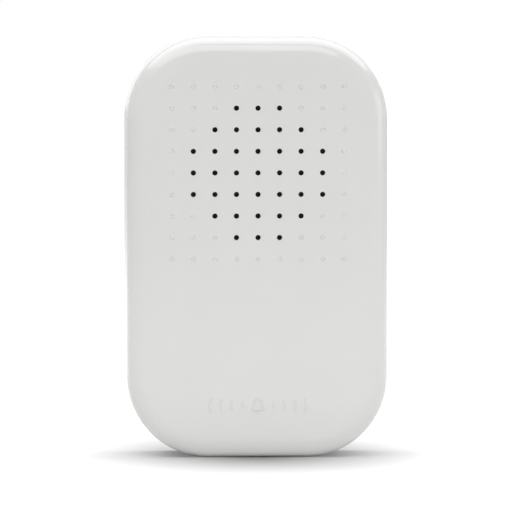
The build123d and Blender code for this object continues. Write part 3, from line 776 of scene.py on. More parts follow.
class MaterialRack:
    """Every finish, built once and handed out by its slot."""

    def __init__(self) -> None:
        """Builds the shared effects and every finish."""
        effects = SurfaceEffects()
        recipes = (
            MouldedPlastic(
                Finish.GLOSS_WHITE, (0.745, 0.745, 0.735), (0.735, 0.735, 0.727), 0.12, 0.3, 2e-6, 0.0
            ),
            MouldedPlastic(
                Finish.SATIN_WHITE, (0.72, 0.72, 0.705), (0.70, 0.70, 0.685), 0.42, 0.0, 1.5e-5, 0.12
            ),
            WovenCloth(
                Finish.BLACK_CLOTH, (0.010, 0.010, 0.011), (0.001, 0.001, 0.001), 0.75, 0.00045, 6e-5
            ),
            PlatedMetal(Finish.ZINC, (0.66, 0.67, 0.68), (0.50, 0.50, 0.47), 0.26, 0.5),
            Ferrite(),
            FibrousSheet(
                Finish.CONE_PAPER, (0.030, 0.029, 0.028), (0.085, 0.08, 0.075), 0.62, 0.0012, 8e-5
            ),
            WovenCloth(
                Finish.SURROUND_CLOTH, (0.022, 0.022, 0.023), (0.012, 0.012, 0.012), 0.42, 0.0005, 3e-5
            ),
            WovenCloth(
                Finish.SPIDER_CLOTH, (0.62, 0.36, 0.10), (0.36, 0.18, 0.04), 0.6, 0.0006, 6e-5
            ),
            FibrousSheet(
                Finish.GASKET_CARD, (0.065, 0.063, 0.06), (0.13, 0.125, 0.12), 0.78, 0.0016, 9e-5
            ),
            CoilWinding(),
            FibrousSheet(
                Finish.PHENOLIC, (0.30, 0.13, 0.045), (0.42, 0.22, 0.09), 0.42, 0.0009, 3e-5
            ),
            PlatedMetal(Finish.BRASS, (0.83, 0.63, 0.28), (0.60, 0.42, 0.18), 0.24, 0.5),
            BoardLaminate(),
            PlainPlastic(
                Finish.GREEN_NYLON, (0.015, 0.17, 0.05), (0.02, 0.21, 0.07), 0.36, 0.0006, 2e-5
            ),
            PlainPlastic(
                Finish.BLACK_RESIN, (0.014, 0.014, 0.015), (0.024, 0.024, 0.025), 0.5, 0.0003, 4e-5
            ),
            CapacitorSleeve(),
            BandedLacquer(),
            PlatedMetal(Finish.TINNED, (0.72, 0.71, 0.69), (0.52, 0.51, 0.49), 0.3, 0.7),
            PlainPlastic(Finish.RED_PVC, (0.55, 0.018, 0.014), (0.48, 0.02, 0.016), 0.36, 0.0012, 3e-5),
            PlainPlastic(
                Finish.BLACK_PVC, (0.012, 0.012, 0.013), (0.022, 0.022, 0.023), 0.38, 0.0012, 3e-5
            ),
        )
        self.made = {recipe.slot: recipe.build(effects) for recipe in recipes}

    def dress(self, piece: Object, finish: Finish) -> None:
        """Puts a finish on a piece."""
        piece.data.materials.clear()
        piece.data.materials.append(self.made[finish])


class Mould:
    """A mesh in the making, with the tools that shape the pieces."""

    def __init__(self) -> None:
        """Starts empty."""
        self.bm = bmesh.new()

    def poured(self, name: str) -> Mesh:
        """Makes the lasting mesh and frees the one in the making.

        Args:
            name: Name of the mesh.

        Returns:
            The mesh.
        """
        mesh = bpy.data.meshes.new(name)
        self.bm.to_mesh(mesh)
        self.bm.free()
        return mesh

    def cast(self, name: str) -> Object:
        """Makes an object, smooth but for its sharp edges.

        Args:
            name: Name of the object.

        Returns:
            The object.
        """
        for edge in self.bm.edges:
            edge.smooth = not (edge.is_manifold and edge.calc_face_angle(0.0) > SMOOTH_BELOW)
        for face in self.bm.faces:
            face.smooth = True
        piece = bpy.data.objects.new(name, self.poured(name))
        bpy.context.scene.collection.objects.link(piece)
        return piece

    def finished(
        self, name: str, node: str, body: str, finish: Finish, rack: MaterialRack
    ) -> Object:
        """Makes the finished piece that takes a node's place.

        Flat faces keep their own normal up to the rounding beside them.

        Args:
            name: Name of the piece.
            node: Name of the node.
            body: The body that it moves with.
            finish: Its finish.
            rack: Where its material comes from.

        Returns:
            The piece.
        """
        piece = self.cast(name)
        weighted = piece.modifiers.new("weighted", "WEIGHTED_NORMAL")
        weighted.keep_sharp = True
        weighted.weight = NORMAL_WEIGHT
        rack.dress(piece, finish)
        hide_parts(node)
        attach(piece, body)
        LOG.info("%s: %d faces", piece.name, len(piece.data.polygons))
        return piece

    def round_corners(self, corners: list[BMVert], radius: float, segments: int) -> BMFace:
        """Rounds the corners of a flat face.

        Args:
            corners: The corners.
            radius: Size of the rounding.
            segments: Straight pieces of each.

        Returns:
            The face.
        """
        made = bmesh.ops.bevel(
            self.bm, geom=corners, offset=radius, offset_type="OFFSET", affect="VERTICES",
            segments=segments, profile=0.5, material=-1, clamp_overlap=False,
        )
        return made["verts"][0].link_faces[0]

    def round_edges(
        self, edges: list[BMEdge], radius: float, segments: int = EDGE_STEPS, clamp: bool = True
    ) -> None:
        """Rounds edges.

        Args:
            edges: The edges.
            radius: Size of the rounding.
            segments: Straight pieces across it.
            clamp: Whether a rounding stops where it would run into another.
        """
        bmesh.ops.bevel(
            self.bm, geom=edges, offset=radius, offset_type="OFFSET", affect="EDGES",
            segments=segments, profile=0.5, material=-1, clamp_overlap=clamp,
        )

    def pulled(self, faces: list[BMFace], travel: float) -> list[BMFace]:
        """Moves flat faces along Y, with walls from where they were.

        Args:
            faces: The faces.
            travel: How far they go towards the wall.

        Returns:
            The faces where they are now.
        """
        made = bmesh.ops.extrude_face_region(self.bm, geom=faces)["geom"]
        verts = [item for item in made if isinstance(item, BMVert)]
        bmesh.ops.translate(self.bm, vec=(0.0, travel, 0.0), verts=verts)
        bmesh.ops.delete(self.bm, geom=[face for face in faces if face.is_valid], context="FACES")
        return [item for item in made if isinstance(item, BMFace)]

    def spun(self, outline: list[Pair], across: float, up: float, steps: int) -> list[BMVert]:
        """Adds an outline turned once round an axis that runs front to back.

        Args:
            outline: Pairs of radius and depth.
            across: Place of the axis along X.
            up: Height of the axis.
            steps: Steps in the full turn.

        Returns:
            The new vertices.
        """
        before = set(self.bm.verts)
        line = [self.bm.verts.new((across + radius, depth, up)) for radius, depth in outline]
        edges = [self.bm.edges.new(pair) for pair in zip(line, line[1:])]
        bmesh.ops.spin(
            self.bm, geom=line + edges, cent=(across, 0.0, up), axis=(0.0, 1.0, 0.0),
            angle=math.tau, steps=steps, use_merge=True, use_duplicate=False,
        )
        made = [vert for vert in self.bm.verts if vert not in before]
        bmesh.ops.remove_doubles(self.bm, verts=made, dist=SAME_POINT)
        return [vert for vert in made if vert.is_valid]

    def stamp(self, pattern: Mesh, across: float, up: float) -> list[BMVert]:
        """Adds a copy of a small mesh that was built round the origin.

        Args:
            pattern: The small mesh.
            across: How far it goes along X.
            up: How far it goes along Z.

        Returns:
            The new vertices.
        """
        start = len(self.bm.verts)
        self.bm.from_mesh(pattern)
        self.bm.verts.ensure_lookup_table()
        verts = self.bm.verts[start:]
        bmesh.ops.translate(self.bm, vec=(across, 0.0, up), verts=verts)
        return verts

    def fill_flat(self, edges: list[BMEdge], facing: float) -> None:
        """Fills a flat region between its outline and the outlines of what stands in it.

        Args:
            edges: All the outlines.
            facing: -1 if the region faces the front, 1 if it faces the wall.
        """
        made = bmesh.ops.triangle_fill(
            self.bm, use_beauty=True, use_dissolve=False, edges=edges, normal=(0.0, facing, 0.0)
        )
        for face in made["geom"]:
            if isinstance(face, BMFace):
                face.normal_update()
                if face.normal.y * facing < 0:
                    face.normal_flip()

    def drawn_out(self, face: BMFace, depth: float) -> tuple[list[BMEdge], list[BMEdge]]:
        """Draws a flat outline out to another depth and leaves only the wall between.

        Args:
            face: The outline, as a face across the case.
            depth: Where the wall ends.

        Returns:
            The edges of the end where the face was, and of the other end.
        """
        near = list(face.edges)
        end = self.pulled([face], depth - face.verts[0].co.y)[0]
        far = list(end.edges)
        bmesh.ops.delete(self.bm, geom=[end], context="FACES")
        return near, far

    def soften(self, rounding: float) -> None:
        """Joins what is flat and rounds every edge that turns sharply.

        Args:
            rounding: Size of the rounding.
        """
        bmesh.ops.dissolve_limit(
            self.bm, angle_limit=FLAT_BELOW, use_dissolve_boundaries=False,
            verts=list(self.bm.verts), edges=list(self.bm.edges), delimit=set(),
        )
        between = [edge for edge in self.bm.edges if edge.is_manifold]
        turning = [edge for edge in between if edge.calc_face_angle(0.0) > ROUND_ABOVE]
        self.round_edges(turning, rounding)


class CaseHalf(Mould):
    """One half of the case, in the box of its node."""

    def __init__(self, node: str) -> None:
        """Takes the box of the node."""
        super().__init__()
        self.low, self.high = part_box(node)

    def outline(self, inset: float, depth: float) -> BMFace:
        """Adds the rounded outline of the case as a flat face that looks to the front.

        Args:
            inset: How far the outline lies inside the case.
            depth: Its place along Y.

        Returns:
            The face.
        """
        low, high = self.low, self.high
        width, height = high.x - low.x - 2 * inset, high.z - low.z - 2 * inset
        middle = (low.z + high.z) / 2
        corners = [
            self.bm.verts.new((side * width / 2, depth, middle + up * height / 2))
            for side, up in ((-1, -1), (1, -1), (1, 1), (-1, 1))
        ]
        self.bm.faces.new(corners)
        return self.round_corners(corners, CORNER_RADIUS - inset, CORNER_STEPS)

    def pin_places(self) -> list[Pair]:
        """Places of the four pins that hold the cover.

        Returns:
            Their centres, across and up.
        """
        return [
            (across, up)
            for across in (self.low.x + PIN_INSET, self.high.x - PIN_INSET)
            for up in (self.low.z + CORNER_RADIUS, self.high.z - CORNER_RADIUS)
        ]


def turned_pattern(outline: list[Pair], steps: int) -> Mesh:
    """Turns an outline once round the depth axis, as a mesh to stamp.

    Args:
        outline: Pairs of radius and depth.
        steps: Steps in the full turn.

    Returns:
        The mesh.
    """
    mould = Mould()
    mould.spun(outline, 0.0, 0.0, steps)
    return mould.poured("pattern")


def rim_edges(verts: list[BMVert], depth: float) -> list[BMEdge]:
    """Open edges that lie at one depth.

    Args:
        verts: Vertices to look among.
        depth: The depth.

    Returns:
        The edges.
    """
    edges = {edge for vert in verts for edge in vert.link_edges if len(edge.link_faces) < 2}
    return [
        edge for edge in edges if all(abs(vert.co.y - depth) < SAME_LEVEL for vert in edge.verts)
    ]


def arc_points(centre: Pair, radius: float, start: float, turn: float, steps: int) -> list[Pair]:
    """Points along an arc in the plane of the face.

    Args:
        centre: Its centre, across and up.
        radius: Its radius.
        start: Angle of the first point in degrees, from +X towards +Z.
        turn: Degrees from the first point to the last.
        steps: Straight pieces.

    Returns:
        The points, across and up.
    """
    angles = [math.radians(start + turn * index / steps) for index in range(steps + 1)]
    return [
        (centre[0] + radius * math.cos(angle), centre[1] + radius * math.sin(angle))
        for angle in angles
    ]


@dataclass
class LineWork(Mould):
    """Raised lines on the face: a bell between two sets of sound waves."""

    level: float
    middle: float = 15.4 * MM
    line: float = 0.55 * MM
    relief: float = 0.25 * MM
    edge_round: float = 0.18 * MM
    bell_half_width: float = 1.9 * MM
    bell_waist: float = 1.15 * MM
    bell_skirt: float = -1.25 * MM
    bell_shoulder: float = 0.55 * MM
    bell_top: float = 2.0 * MM
    flare_radius: float = 7.6 * MM
    clapper_radius: float = 0.8 * MM
    clapper_turn: float = 126.0
    wave_count: int = 4
    wave_first: float = 4.4 * MM
    wave_pitch: float = 3.1 * MM
    wave_half_height: float = 1.0 * MM
    wave_growth: float = 0.4 * MM
    wave_bulge: float = 0.32
    wave_steps: int = 6
    flare_steps: int = 2
    dome_steps: int = 14
    tip_share: float = 0.3
    tip_steps: int = 4

    def __post_init__(self) -> None:
        """Starts with an empty mesh."""
        super().__init__()

    def raise_line(self, faces: list[BMFace]) -> None:
        """Lifts flat faces off the case and rounds their upper edges.

        Args:
            faces: The faces at the level of the case.
        """
        tops = set(self.pulled(faces, -self.relief))
        edges = {edge for face in tops for edge in face.edges}
        rim = [edge for edge in edges if sum(face in tops for face in edge.link_faces) == 1]
        self.round_edges(rim, self.edge_round)

    def stroke(self, centre: Pair, radius: float, start: float, turn: float) -> None:
        """Adds one raised arc.

        Args:
            centre: Centre of the arc, across and up from the middle of the line work.
            radius: Radius of the middle of the line.
            start: Angle of its first end in degrees.
            turn: Degrees to its other end.
        """
        before = set(self.bm.faces)
        angle = math.radians(start)
        across, up = centre[0], self.middle + centre[1]
        tip = [
            self.bm.verts.new(
                (across + reach * math.cos(angle), self.level, up + reach * math.sin(angle))
            )
            for reach in (radius - self.line / 2, radius + self.line / 2)
        ]
        last = bmesh.ops.spin(
            self.bm, geom=tip + [self.bm.edges.new(tip)], cent=(across, self.level, up),
            axis=(0.0, -1.0, 0.0), angle=math.radians(turn), steps=self.wave_steps,
            use_duplicate=False,
        )["geom_last"]
        ends = tip + [item for item in last if isinstance(item, BMVert)]
        bmesh.ops.dissolve_faces(self.bm, faces=[face for face in self.bm.faces if face not in before])
        self.raise_line([self.round_corners(ends, self.line * self.tip_share, self.tip_steps)])

    def bell(self) -> None:
        """Adds the outline of the bell."""
        out = self.line / 2
        skirt = Vector((self.bell_half_width + out, self.bell_skirt - out))
        shoulder = Vector((self.bell_waist + out, self.bell_shoulder))
        chord = shoulder - skirt
        lift = math.sqrt(self.flare_radius**2 - (chord.length / 2) ** 2)
        aside = Vector((-chord.y, chord.x)).normalized() * -lift
        hub = (skirt + shoulder) / 2 + aside
        first = math.degrees(math.atan2(skirt.y - hub.y, skirt.x - hub.x))
        last = math.degrees(math.atan2(shoulder.y - hub.y, shoulder.x - hub.x))
        sweep = (last - first + 180.0) % 360.0 - 180.0
        right = arc_points((hub.x, hub.y), self.flare_radius, first, sweep, self.flare_steps)
        rise = self.bell_top + out - self.bell_shoulder
        dome_radius = (shoulder.x**2 + rise**2) / (2 * rise)
        dome_centre = (0.0, self.bell_top + out - dome_radius)
        edge = math.degrees(math.atan2(shoulder.y - dome_centre[1], shoulder.x))
        dome = arc_points(dome_centre, dome_radius, edge, 180.0 - 2 * edge, self.dome_steps)
        outline = right + dome[1:-1] + [(-x, z) for x, z in reversed(right)]
        verts = [self.bm.verts.new((x, self.level, self.middle + z)) for x, z in outline]
        face = self.bm.faces.new(verts)
        face.normal_update()
        ring = bmesh.ops.inset_region(
            self.bm, faces=[face], thickness=self.line, use_even_offset=True, use_boundary=True
        )["faces"]
        self.raise_line(ring)

    def pattern(self) -> Mesh:
        """Makes the bell, its clapper and the waves.

        Returns:
            The line work, open where it stands on the face.
        """
        self.bell()
        start = 270.0 - self.clapper_turn / 2
        hub = (0.0, self.bell_skirt - self.line / 4)
        self.stroke(hub, self.clapper_radius, start, self.clapper_turn)
        for index in range(self.wave_count):
            half = self.wave_half_height + index * self.wave_growth
            bulge = self.wave_bulge * half
            radius = (half**2 + bulge**2) / (2 * bulge)
            turn = 2 * math.degrees(math.asin(half / radius))
            across = self.wave_first + index * self.wave_pitch + bulge - radius
            self.stroke((across, 0.0), radius, -turn / 2, turn)
            self.stroke((-across, 0.0), radius, 180.0 - turn / 2, turn)
        return self.poured("line_work")


@dataclass
class FrontCover(CaseHalf):
    """Gloss white cover with its sound holes, dimples and line work."""

    rack: MaterialRack
    edge_round: float = 5.8 * MM
    round_steps: int = 14
    wall: float = 2.2 * MM
    outer_strip: float = 1.2 * MM
    inner_strip: float = 0.5 * MM
    rim_round: float = 0.22 * MM
    grid_side: int = 9
    grid_pitch: float = 6.35 * MM
    through_counts: tuple[int, ...] = (0, 3, 5, 7, 7, 7, 5, 3, 0)
    hole_radius: float = 0.775 * MM
    hole_round: float = 0.13 * MM
    hole_round_steps: int = 3
    hole_steps: int = 28
    hole_land: float = 0.3 * MM
    dimple_depth: float = 0.48 * MM
    dimple_rows: int = 7
    lip_ease: Pair = (0.1, 0.2)
    rib_inner_radius: float = 22.6 * MM
    rib_wall: float = 1.6 * MM
    rib_height: float = 2.7 * MM
    rib_steps: int = 112
    boss_radius: float = 3.2 * MM
    boss_end: float = 10.0 * MM
    boss_bore: float = 1.55 * MM
    boss_bore_depth: float = 6.3 * MM
    boss_steps: int = 40

    def __post_init__(self) -> None:
        """Takes the levels of the face and of the inside from the node."""
        super().__init__("front_cover")
        self.front = self.low.y + LineWork.relief
        self.inner = self.front + self.wall

    def holes(self, through: bool) -> list[Pair]:
        """Centres of the sound holes or of the dimples, across and up.

        Args:
            through: True for the holes, False for the dimples.

        Returns:
            The centres.
        """
        middle = (self.grid_side - 1) / 2
        return [
            ((column - middle) * self.grid_pitch, SOUND_HEIGHT + (middle - row) * self.grid_pitch)
            for row, count in enumerate(self.through_counts)
            for column in range(self.grid_side)
            if (abs(column - middle) < count / 2) == through
        ]

    def hole_outline(self) -> list[Pair]:
        """Section of a sound hole, with a small round at the face.

        Returns:
            Pairs of radius and depth.
        """
        mouth = self.hole_radius + self.hole_round
        rounded = arc_points(
            (mouth, self.front + self.hole_round), self.hole_round, 270.0, -90.0,
            self.hole_round_steps,
        )
        return [(mouth + self.hole_land, self.front), *rounded, (self.hole_radius, self.inner)]

    def dimple_outline(self) -> list[Pair]:
        """Section of a dimple: the cap of a ball with a soft lip.

        Returns:
            Pairs of radius and depth.
        """
        ball = (self.hole_radius**2 + self.dimple_depth**2) / (2 * self.dimple_depth)
        centre = self.front - (ball - self.dimple_depth)
        lip = self.hole_round / 2
        aside, down = self.lip_ease
        outline = [
            (self.hole_radius + lip + self.hole_land, self.front),
            (self.hole_radius + lip, self.front),
            (self.hole_radius + lip * aside, self.front + lip * down),
        ]
        for index in range(self.dimple_rows + 1):
            radius = (self.hole_radius - lip) * (1.0 - index / self.dimple_rows)
            outline.append((radius, centre + math.sqrt(ball**2 - radius**2)))
        return outline

    def shell(self, inset: float, strip: float) -> tuple[list[BMEdge], list[BMEdge]]:
        """Adds one side of the cover's wall, open at the back and in its flat front.

        Args:
            inset: How far it lies inside the outside of the case.
            strip: Width of a flat strip kept round the front.

        Returns:
            The edges of the open end and the edges round the flat front.
        """
        rear, front = self.high.y, self.front + inset
        face = self.outline(inset, rear)
        open_end = list(face.edges)
        top = self.pulled([face], front - rear)[0]
        self.round_edges(list(top.edges), self.edge_round - inset, self.round_steps, False)
        flat = max(
            (item for item in self.bm.faces if abs(item.calc_center_median().y - front) < SAME_POINT),
            key=lambda item: item.calc_area(),
        )
        bmesh.ops.inset_region(
            self.bm, faces=[flat], thickness=strip, use_even_offset=True, use_boundary=True
        )
        around = list(flat.edges)
        bmesh.ops.delete(self.bm, geom=[flat], context="FACES_ONLY")
        return [edge for edge in open_end if edge.is_valid], around

    def face(self, around: list[BMEdge]) -> list[BMEdge]:
        """Closes the flat front with the sound holes, the dimples and the line work in it.

        Args:
            around: The edges round the flat front.

        Returns:
            The inner ends of the sound holes.
        """
        rims: list[BMEdge] = []
        ends: list[BMEdge] = []
        hole = turned_pattern(self.hole_outline(), self.hole_steps)
        dimple = turned_pattern(self.dimple_outline(), self.hole_steps)
        for across, up in self.holes(True):
            verts = self.stamp(hole, across, up)
            rims += rim_edges(verts, self.front)
            ends += rim_edges(verts, self.inner)
        for across, up in self.holes(False):
            rims += rim_edges(self.stamp(dimple, across, up), self.front)
        rims += rim_edges(self.stamp(LineWork(self.front).pattern(), 0.0, 0.0), self.front)
        self.fill_flat(around + rims, -1.0)
        return ends

    def inside(self, around: list[BMEdge], hole_ends: list[BMEdge]) -> None:
        """Closes the inside of the front, with the rib that rings the loudspeaker.

        Args:
            around: The edges round the flat inside.
            hole_ends: The inner ends of the sound holes.
        """
        rib_outer = self.rib_inner_radius + self.rib_wall
        rib_end = self.inner + self.rib_height
        section = [
            (self.rib_inner_radius, self.inner), (self.rib_inner_radius, rib_end),
            (rib_outer, rib_end), (rib_outer, self.inner),
        ]
        rib = rim_edges(self.spun(section, 0.0, SOUND_HEIGHT, self.rib_steps), self.inner)
        split = self.rib_inner_radius + self.rib_wall / 2
        within = [
            edge for edge in rib
            if math.hypot(edge.verts[0].co.x, edge.verts[0].co.z - SOUND_HEIGHT) < split
        ]
        self.fill_flat(within + hole_ends, 1.0)
        self.fill_flat(around + [edge for edge in rib if edge not in within], 1.0)

    def bosses(self) -> None:
        """Adds the four bosses that push onto the pins, rooted in the wall."""
        root = self.inner - self.wall / 3
        bore_end = self.boss_end - self.boss_bore_depth
        outline = [
            (0.0, root), (self.boss_radius, root), (self.boss_radius, self.boss_end),
            (self.boss_bore, self.boss_end), (self.boss_bore, bore_end), (0.0, bore_end),
        ]
        for across, up in self.pin_places():
            self.spun(outline, across, up, self.boss_steps)

    def build(self) -> Object:
        """Builds the cover.

        Returns:
            The finished piece.
        """
        outer_end, outer_front = self.shell(0.0, self.outer_strip)
        inner_end, inner_front = self.shell(self.wall, self.inner_strip)
        self.fill_flat(outer_end + inner_end, 1.0)
        self.inside(inner_front, self.face(outer_front))
        self.bosses()
        bmesh.ops.recalc_face_normals(self.bm, faces=list(self.bm.faces))
        self.round_edges([edge for edge in outer_end if edge.is_valid], self.rim_round)
        return self.finished(
            "moulded_cover", "front_cover", "cover", Finish.GLOSS_WHITE, self.rack
        )


@dataclass
class BackPlate(CaseHalf):
    """Back of the case, with the lip, posts, pillars and pins that stand on it."""

    rack: MaterialRack
    thickness: float = 2.2 * MM
    edge_round: float = 0.22 * MM
    rim: float = 3.0 * MM
    recess: float = 0.6 * MM
    wall_holes: Pair = (9.0 * MM, 115.0 * MM)
    wall_hole_radius: float = 2.1 * MM
    wall_pad_radius: float = 5.0 * MM
    cable_height: float = 19.5 * MM
    cable_radius: float = 5.0 * MM
    cable_pad_radius: float = 8.0 * MM
    lip_offset: float = 2.5 * MM
    lip_wall: float = 1.5 * MM
    lip_height: float = 4.0 * MM
    root: float = 0.6 * MM
    foot: float = 0.5 * MM
    foot_steps: int = 4
    pin_root_radius: float = 3.0 * MM
    pin_radius: float = 1.5 * MM
    pin_length: float = 6.0 * MM
    ear_reach: float = 29.0 * MM
    post_radius: float = 3.5 * MM
    bore_radius: float = 1.25 * MM
    post_bore: float = 8.0 * MM
    pillar_radius: float = 3.0 * MM
    pillar_height: float = 4.5 * MM
    pillar_across: float = 21.5 * MM
    pillar_heights: Pair = (32.5 * MM, 53.5 * MM)
    thin_steps: int = 40
    round_steps: int = 48
    cable_pad_steps: int = 54
    wall_pad_steps: int = 34

    def __post_init__(self) -> None:
        """Takes the levels of the plate and of its lip from the node."""
        super().__init__("base_plate")
        self.front = self.high.y - self.thickness
        self.lip_end = self.front - self.lip_height

    def disc(self, radius: float, up: float) -> BMFace:
        """Adds a flat disc at the rear level, on the middle line.

        Args:
            radius: Its radius.
            up: Height of its centre.

        Returns:
            The face.
        """
        turned = Matrix.Rotation(math.radians(90.0), 4, "X")
        place = Matrix.Translation((0.0, self.high.y, up)) @ turned
        verts = bmesh.ops.create_circle(
            self.bm, cap_ends=True, segments=self.round_steps, radius=radius, matrix=place
        )["verts"]
        return verts[0].link_faces[0]

    def lower_pad(self) -> BMFace:
        """Adds the outline that the cable pad and the lower wall pad have together.

        Returns:
            The face.
        """
        gap = self.cable_height - self.wall_holes[0]
        reach = (self.cable_pad_radius**2 - self.wall_pad_radius**2 + gap**2) / (2 * gap)
        upper = math.degrees(math.asin(reach / self.cable_pad_radius))
        lower = math.degrees(math.asin((gap - reach) / self.wall_pad_radius))
        points = arc_points(
            (0.0, self.cable_height), self.cable_pad_radius, -upper, 180.0 + 2 * upper,
            self.cable_pad_steps,
        )
        points += arc_points(
            (0.0, self.wall_holes[0]), self.wall_pad_radius, 180.0 - lower, 180.0 + 2 * lower,
            self.wall_pad_steps,
        )[1:-1]
        return self.bm.faces.new([self.bm.verts.new((x, self.high.y, z)) for x, z in points])

    def plate(self) -> None:
        """Adds the flat plate with its recess, pads and holes."""
        back = self.high.y
        floor = back - self.recess
        rear_rims, front_rims = self.drawn_out(self.outline(0.0, back), self.front)
        step, floor_rims = self.drawn_out(self.outline(self.rim, back), floor)
        self.fill_flat(rear_rims + step, 1.0)
        upper_pad = self.disc(self.wall_pad_radius, self.wall_holes[1])
        upper_holes = ((self.wall_hole_radius, self.wall_holes[1]),)
        lower_holes = (
            (self.wall_hole_radius, self.wall_holes[0]), (self.cable_radius, self.cable_height)
        )
        for pad, holes in ((upper_pad, upper_holes), (self.lower_pad(), lower_holes)):
            top_rims, foot_rims = self.drawn_out(pad, floor)
            floor_rims += foot_rims
            for radius, up in holes:
                rear, inner = self.drawn_out(self.disc(radius, up), self.front)
                top_rims += rear
                front_rims += inner
            self.fill_flat(top_rims, 1.0)
        self.fill_flat(floor_rims, 1.0)
        self.fill_flat(front_rims, -1.0)

    def lip(self) -> None:
        """Adds the lip that the cover fits over."""
        roots: list[BMEdge] = []
        ends: list[BMEdge] = []
        for inset in (self.lip_offset, self.lip_offset + self.lip_wall):
            near, far = self.drawn_out(self.outline(inset, self.front + self.root), self.lip_end)
            roots += near
            ends += far
        self.fill_flat(roots, 1.0)
        self.fill_flat(ends, -1.0)

    def column(self, radius: float, tip: float, bore: float) -> list[Pair]:
        """Section of a post or pillar with a spread foot and a screw bore.

        Args:
            radius: Its radius.
            tip: Level of its end.
            bore: Depth of its bore.

        Returns:
            Pairs of radius and depth.
        """
        wide = radius + self.foot
        flare = arc_points((wide, self.front - self.foot), self.foot, 90.0, 90.0, self.foot_steps)
        return [
            (0.0, self.front + self.root), (wide, self.front + self.root), *flare, (radius, tip),
            (self.bore_radius, tip), (self.bore_radius, tip + bore), (0.0, tip + bore),
        ]

    def standing(self) -> None:
        """Adds the pins, the loudspeaker's posts and the board's pillars."""
        foot, shoulder, tip = self.front + self.root, self.lip_end, self.lip_end - self.pin_length
        pin = turned_pattern([
            (0.0, foot), (self.pin_root_radius, foot), (self.pin_root_radius, shoulder),
            (self.pin_radius, shoulder), (self.pin_radius, tip), (0.0, tip),
        ], self.thin_steps)
        post = turned_pattern(
            self.column(self.post_radius, self.low.y, self.post_bore), self.round_steps
        )
        pillar_tip = self.front - self.pillar_height
        pillar = turned_pattern(
            self.column(self.pillar_radius, pillar_tip, self.pillar_height), self.thin_steps
        )
        ear = self.ear_reach * math.sqrt(0.5)
        for side in (-1, 1):
            for across, up in self.pin_places():
                if across * side > 0:
                    self.stamp(pin, across, up)
            for lift in (-ear, ear):
                self.stamp(post, side * ear, SOUND_HEIGHT + lift)
            for up in self.pillar_heights:
                self.stamp(pillar, side * self.pillar_across, up)

    def build(self) -> Object:
        """Builds the back.

        Returns:
            The finished piece.
        """
        self.plate()
        self.lip()
        self.standing()
        bmesh.ops.recalc_face_normals(self.bm, faces=list(self.bm.faces))
        self.soften(self.edge_round)
        return self.finished("moulded_back", "base_plate", "base", Finish.SATIN_WHITE, self.rack)


@dataclass
class SmallPiece(Mould):
    """A copy of a node, with the broken edges of the real piece."""

    node: str
    body: str
    finish: Finish
    rack: MaterialRack
    merge_reach: float = 2e-6

    def __post_init__(self) -> None:
        """Copies the node's loose triangles and joins them."""
        super().__init__()
        self.bm.from_mesh(FRAME["nodes"][self.node].data)
        bmesh.ops.remove_doubles(self.bm, verts=list(self.bm.verts), dist=self.merge_reach)

    def build(self) -> Object:
        """Rounds its edges and puts it in the node's place."""
        self.soften(OTHER_ROUNDS.get(self.node, USUAL_ROUND))
        return self.finished(f"{self.node}_finished", self.node, self.body, self.finish, self.rack)


@dataclass(frozen=True)
class Softbox:
    """A rectangular soft lamp. A glow of 1 lights white fully."""

    name: str
    place: Place
    target: Place
    size: Pair
    glow: float
    mirrored: bool = True

    def hang(self) -> None:
        """Hangs the lamp, which gloss shows only if it is mirrored."""
        lamp = bpy.data.lights.new(self.name, "AREA")
        lamp.shape = "RECTANGLE"
        lamp.size, lamp.size_y = self.size
        lamp.energy = self.glow * math.pi * lamp.size * lamp.size_y
        holder = bpy.data.objects.new(self.name, lamp)
        holder.location = self.place
        holder.visible_glossy = self.mirrored
        holder.visible_camera = False
        aim = Vector(self.target) - Vector(self.place)
        holder.rotation_euler = aim.to_track_quat("-Z", "Y").to_euler()
        bpy.context.scene.collection.objects.link(holder)


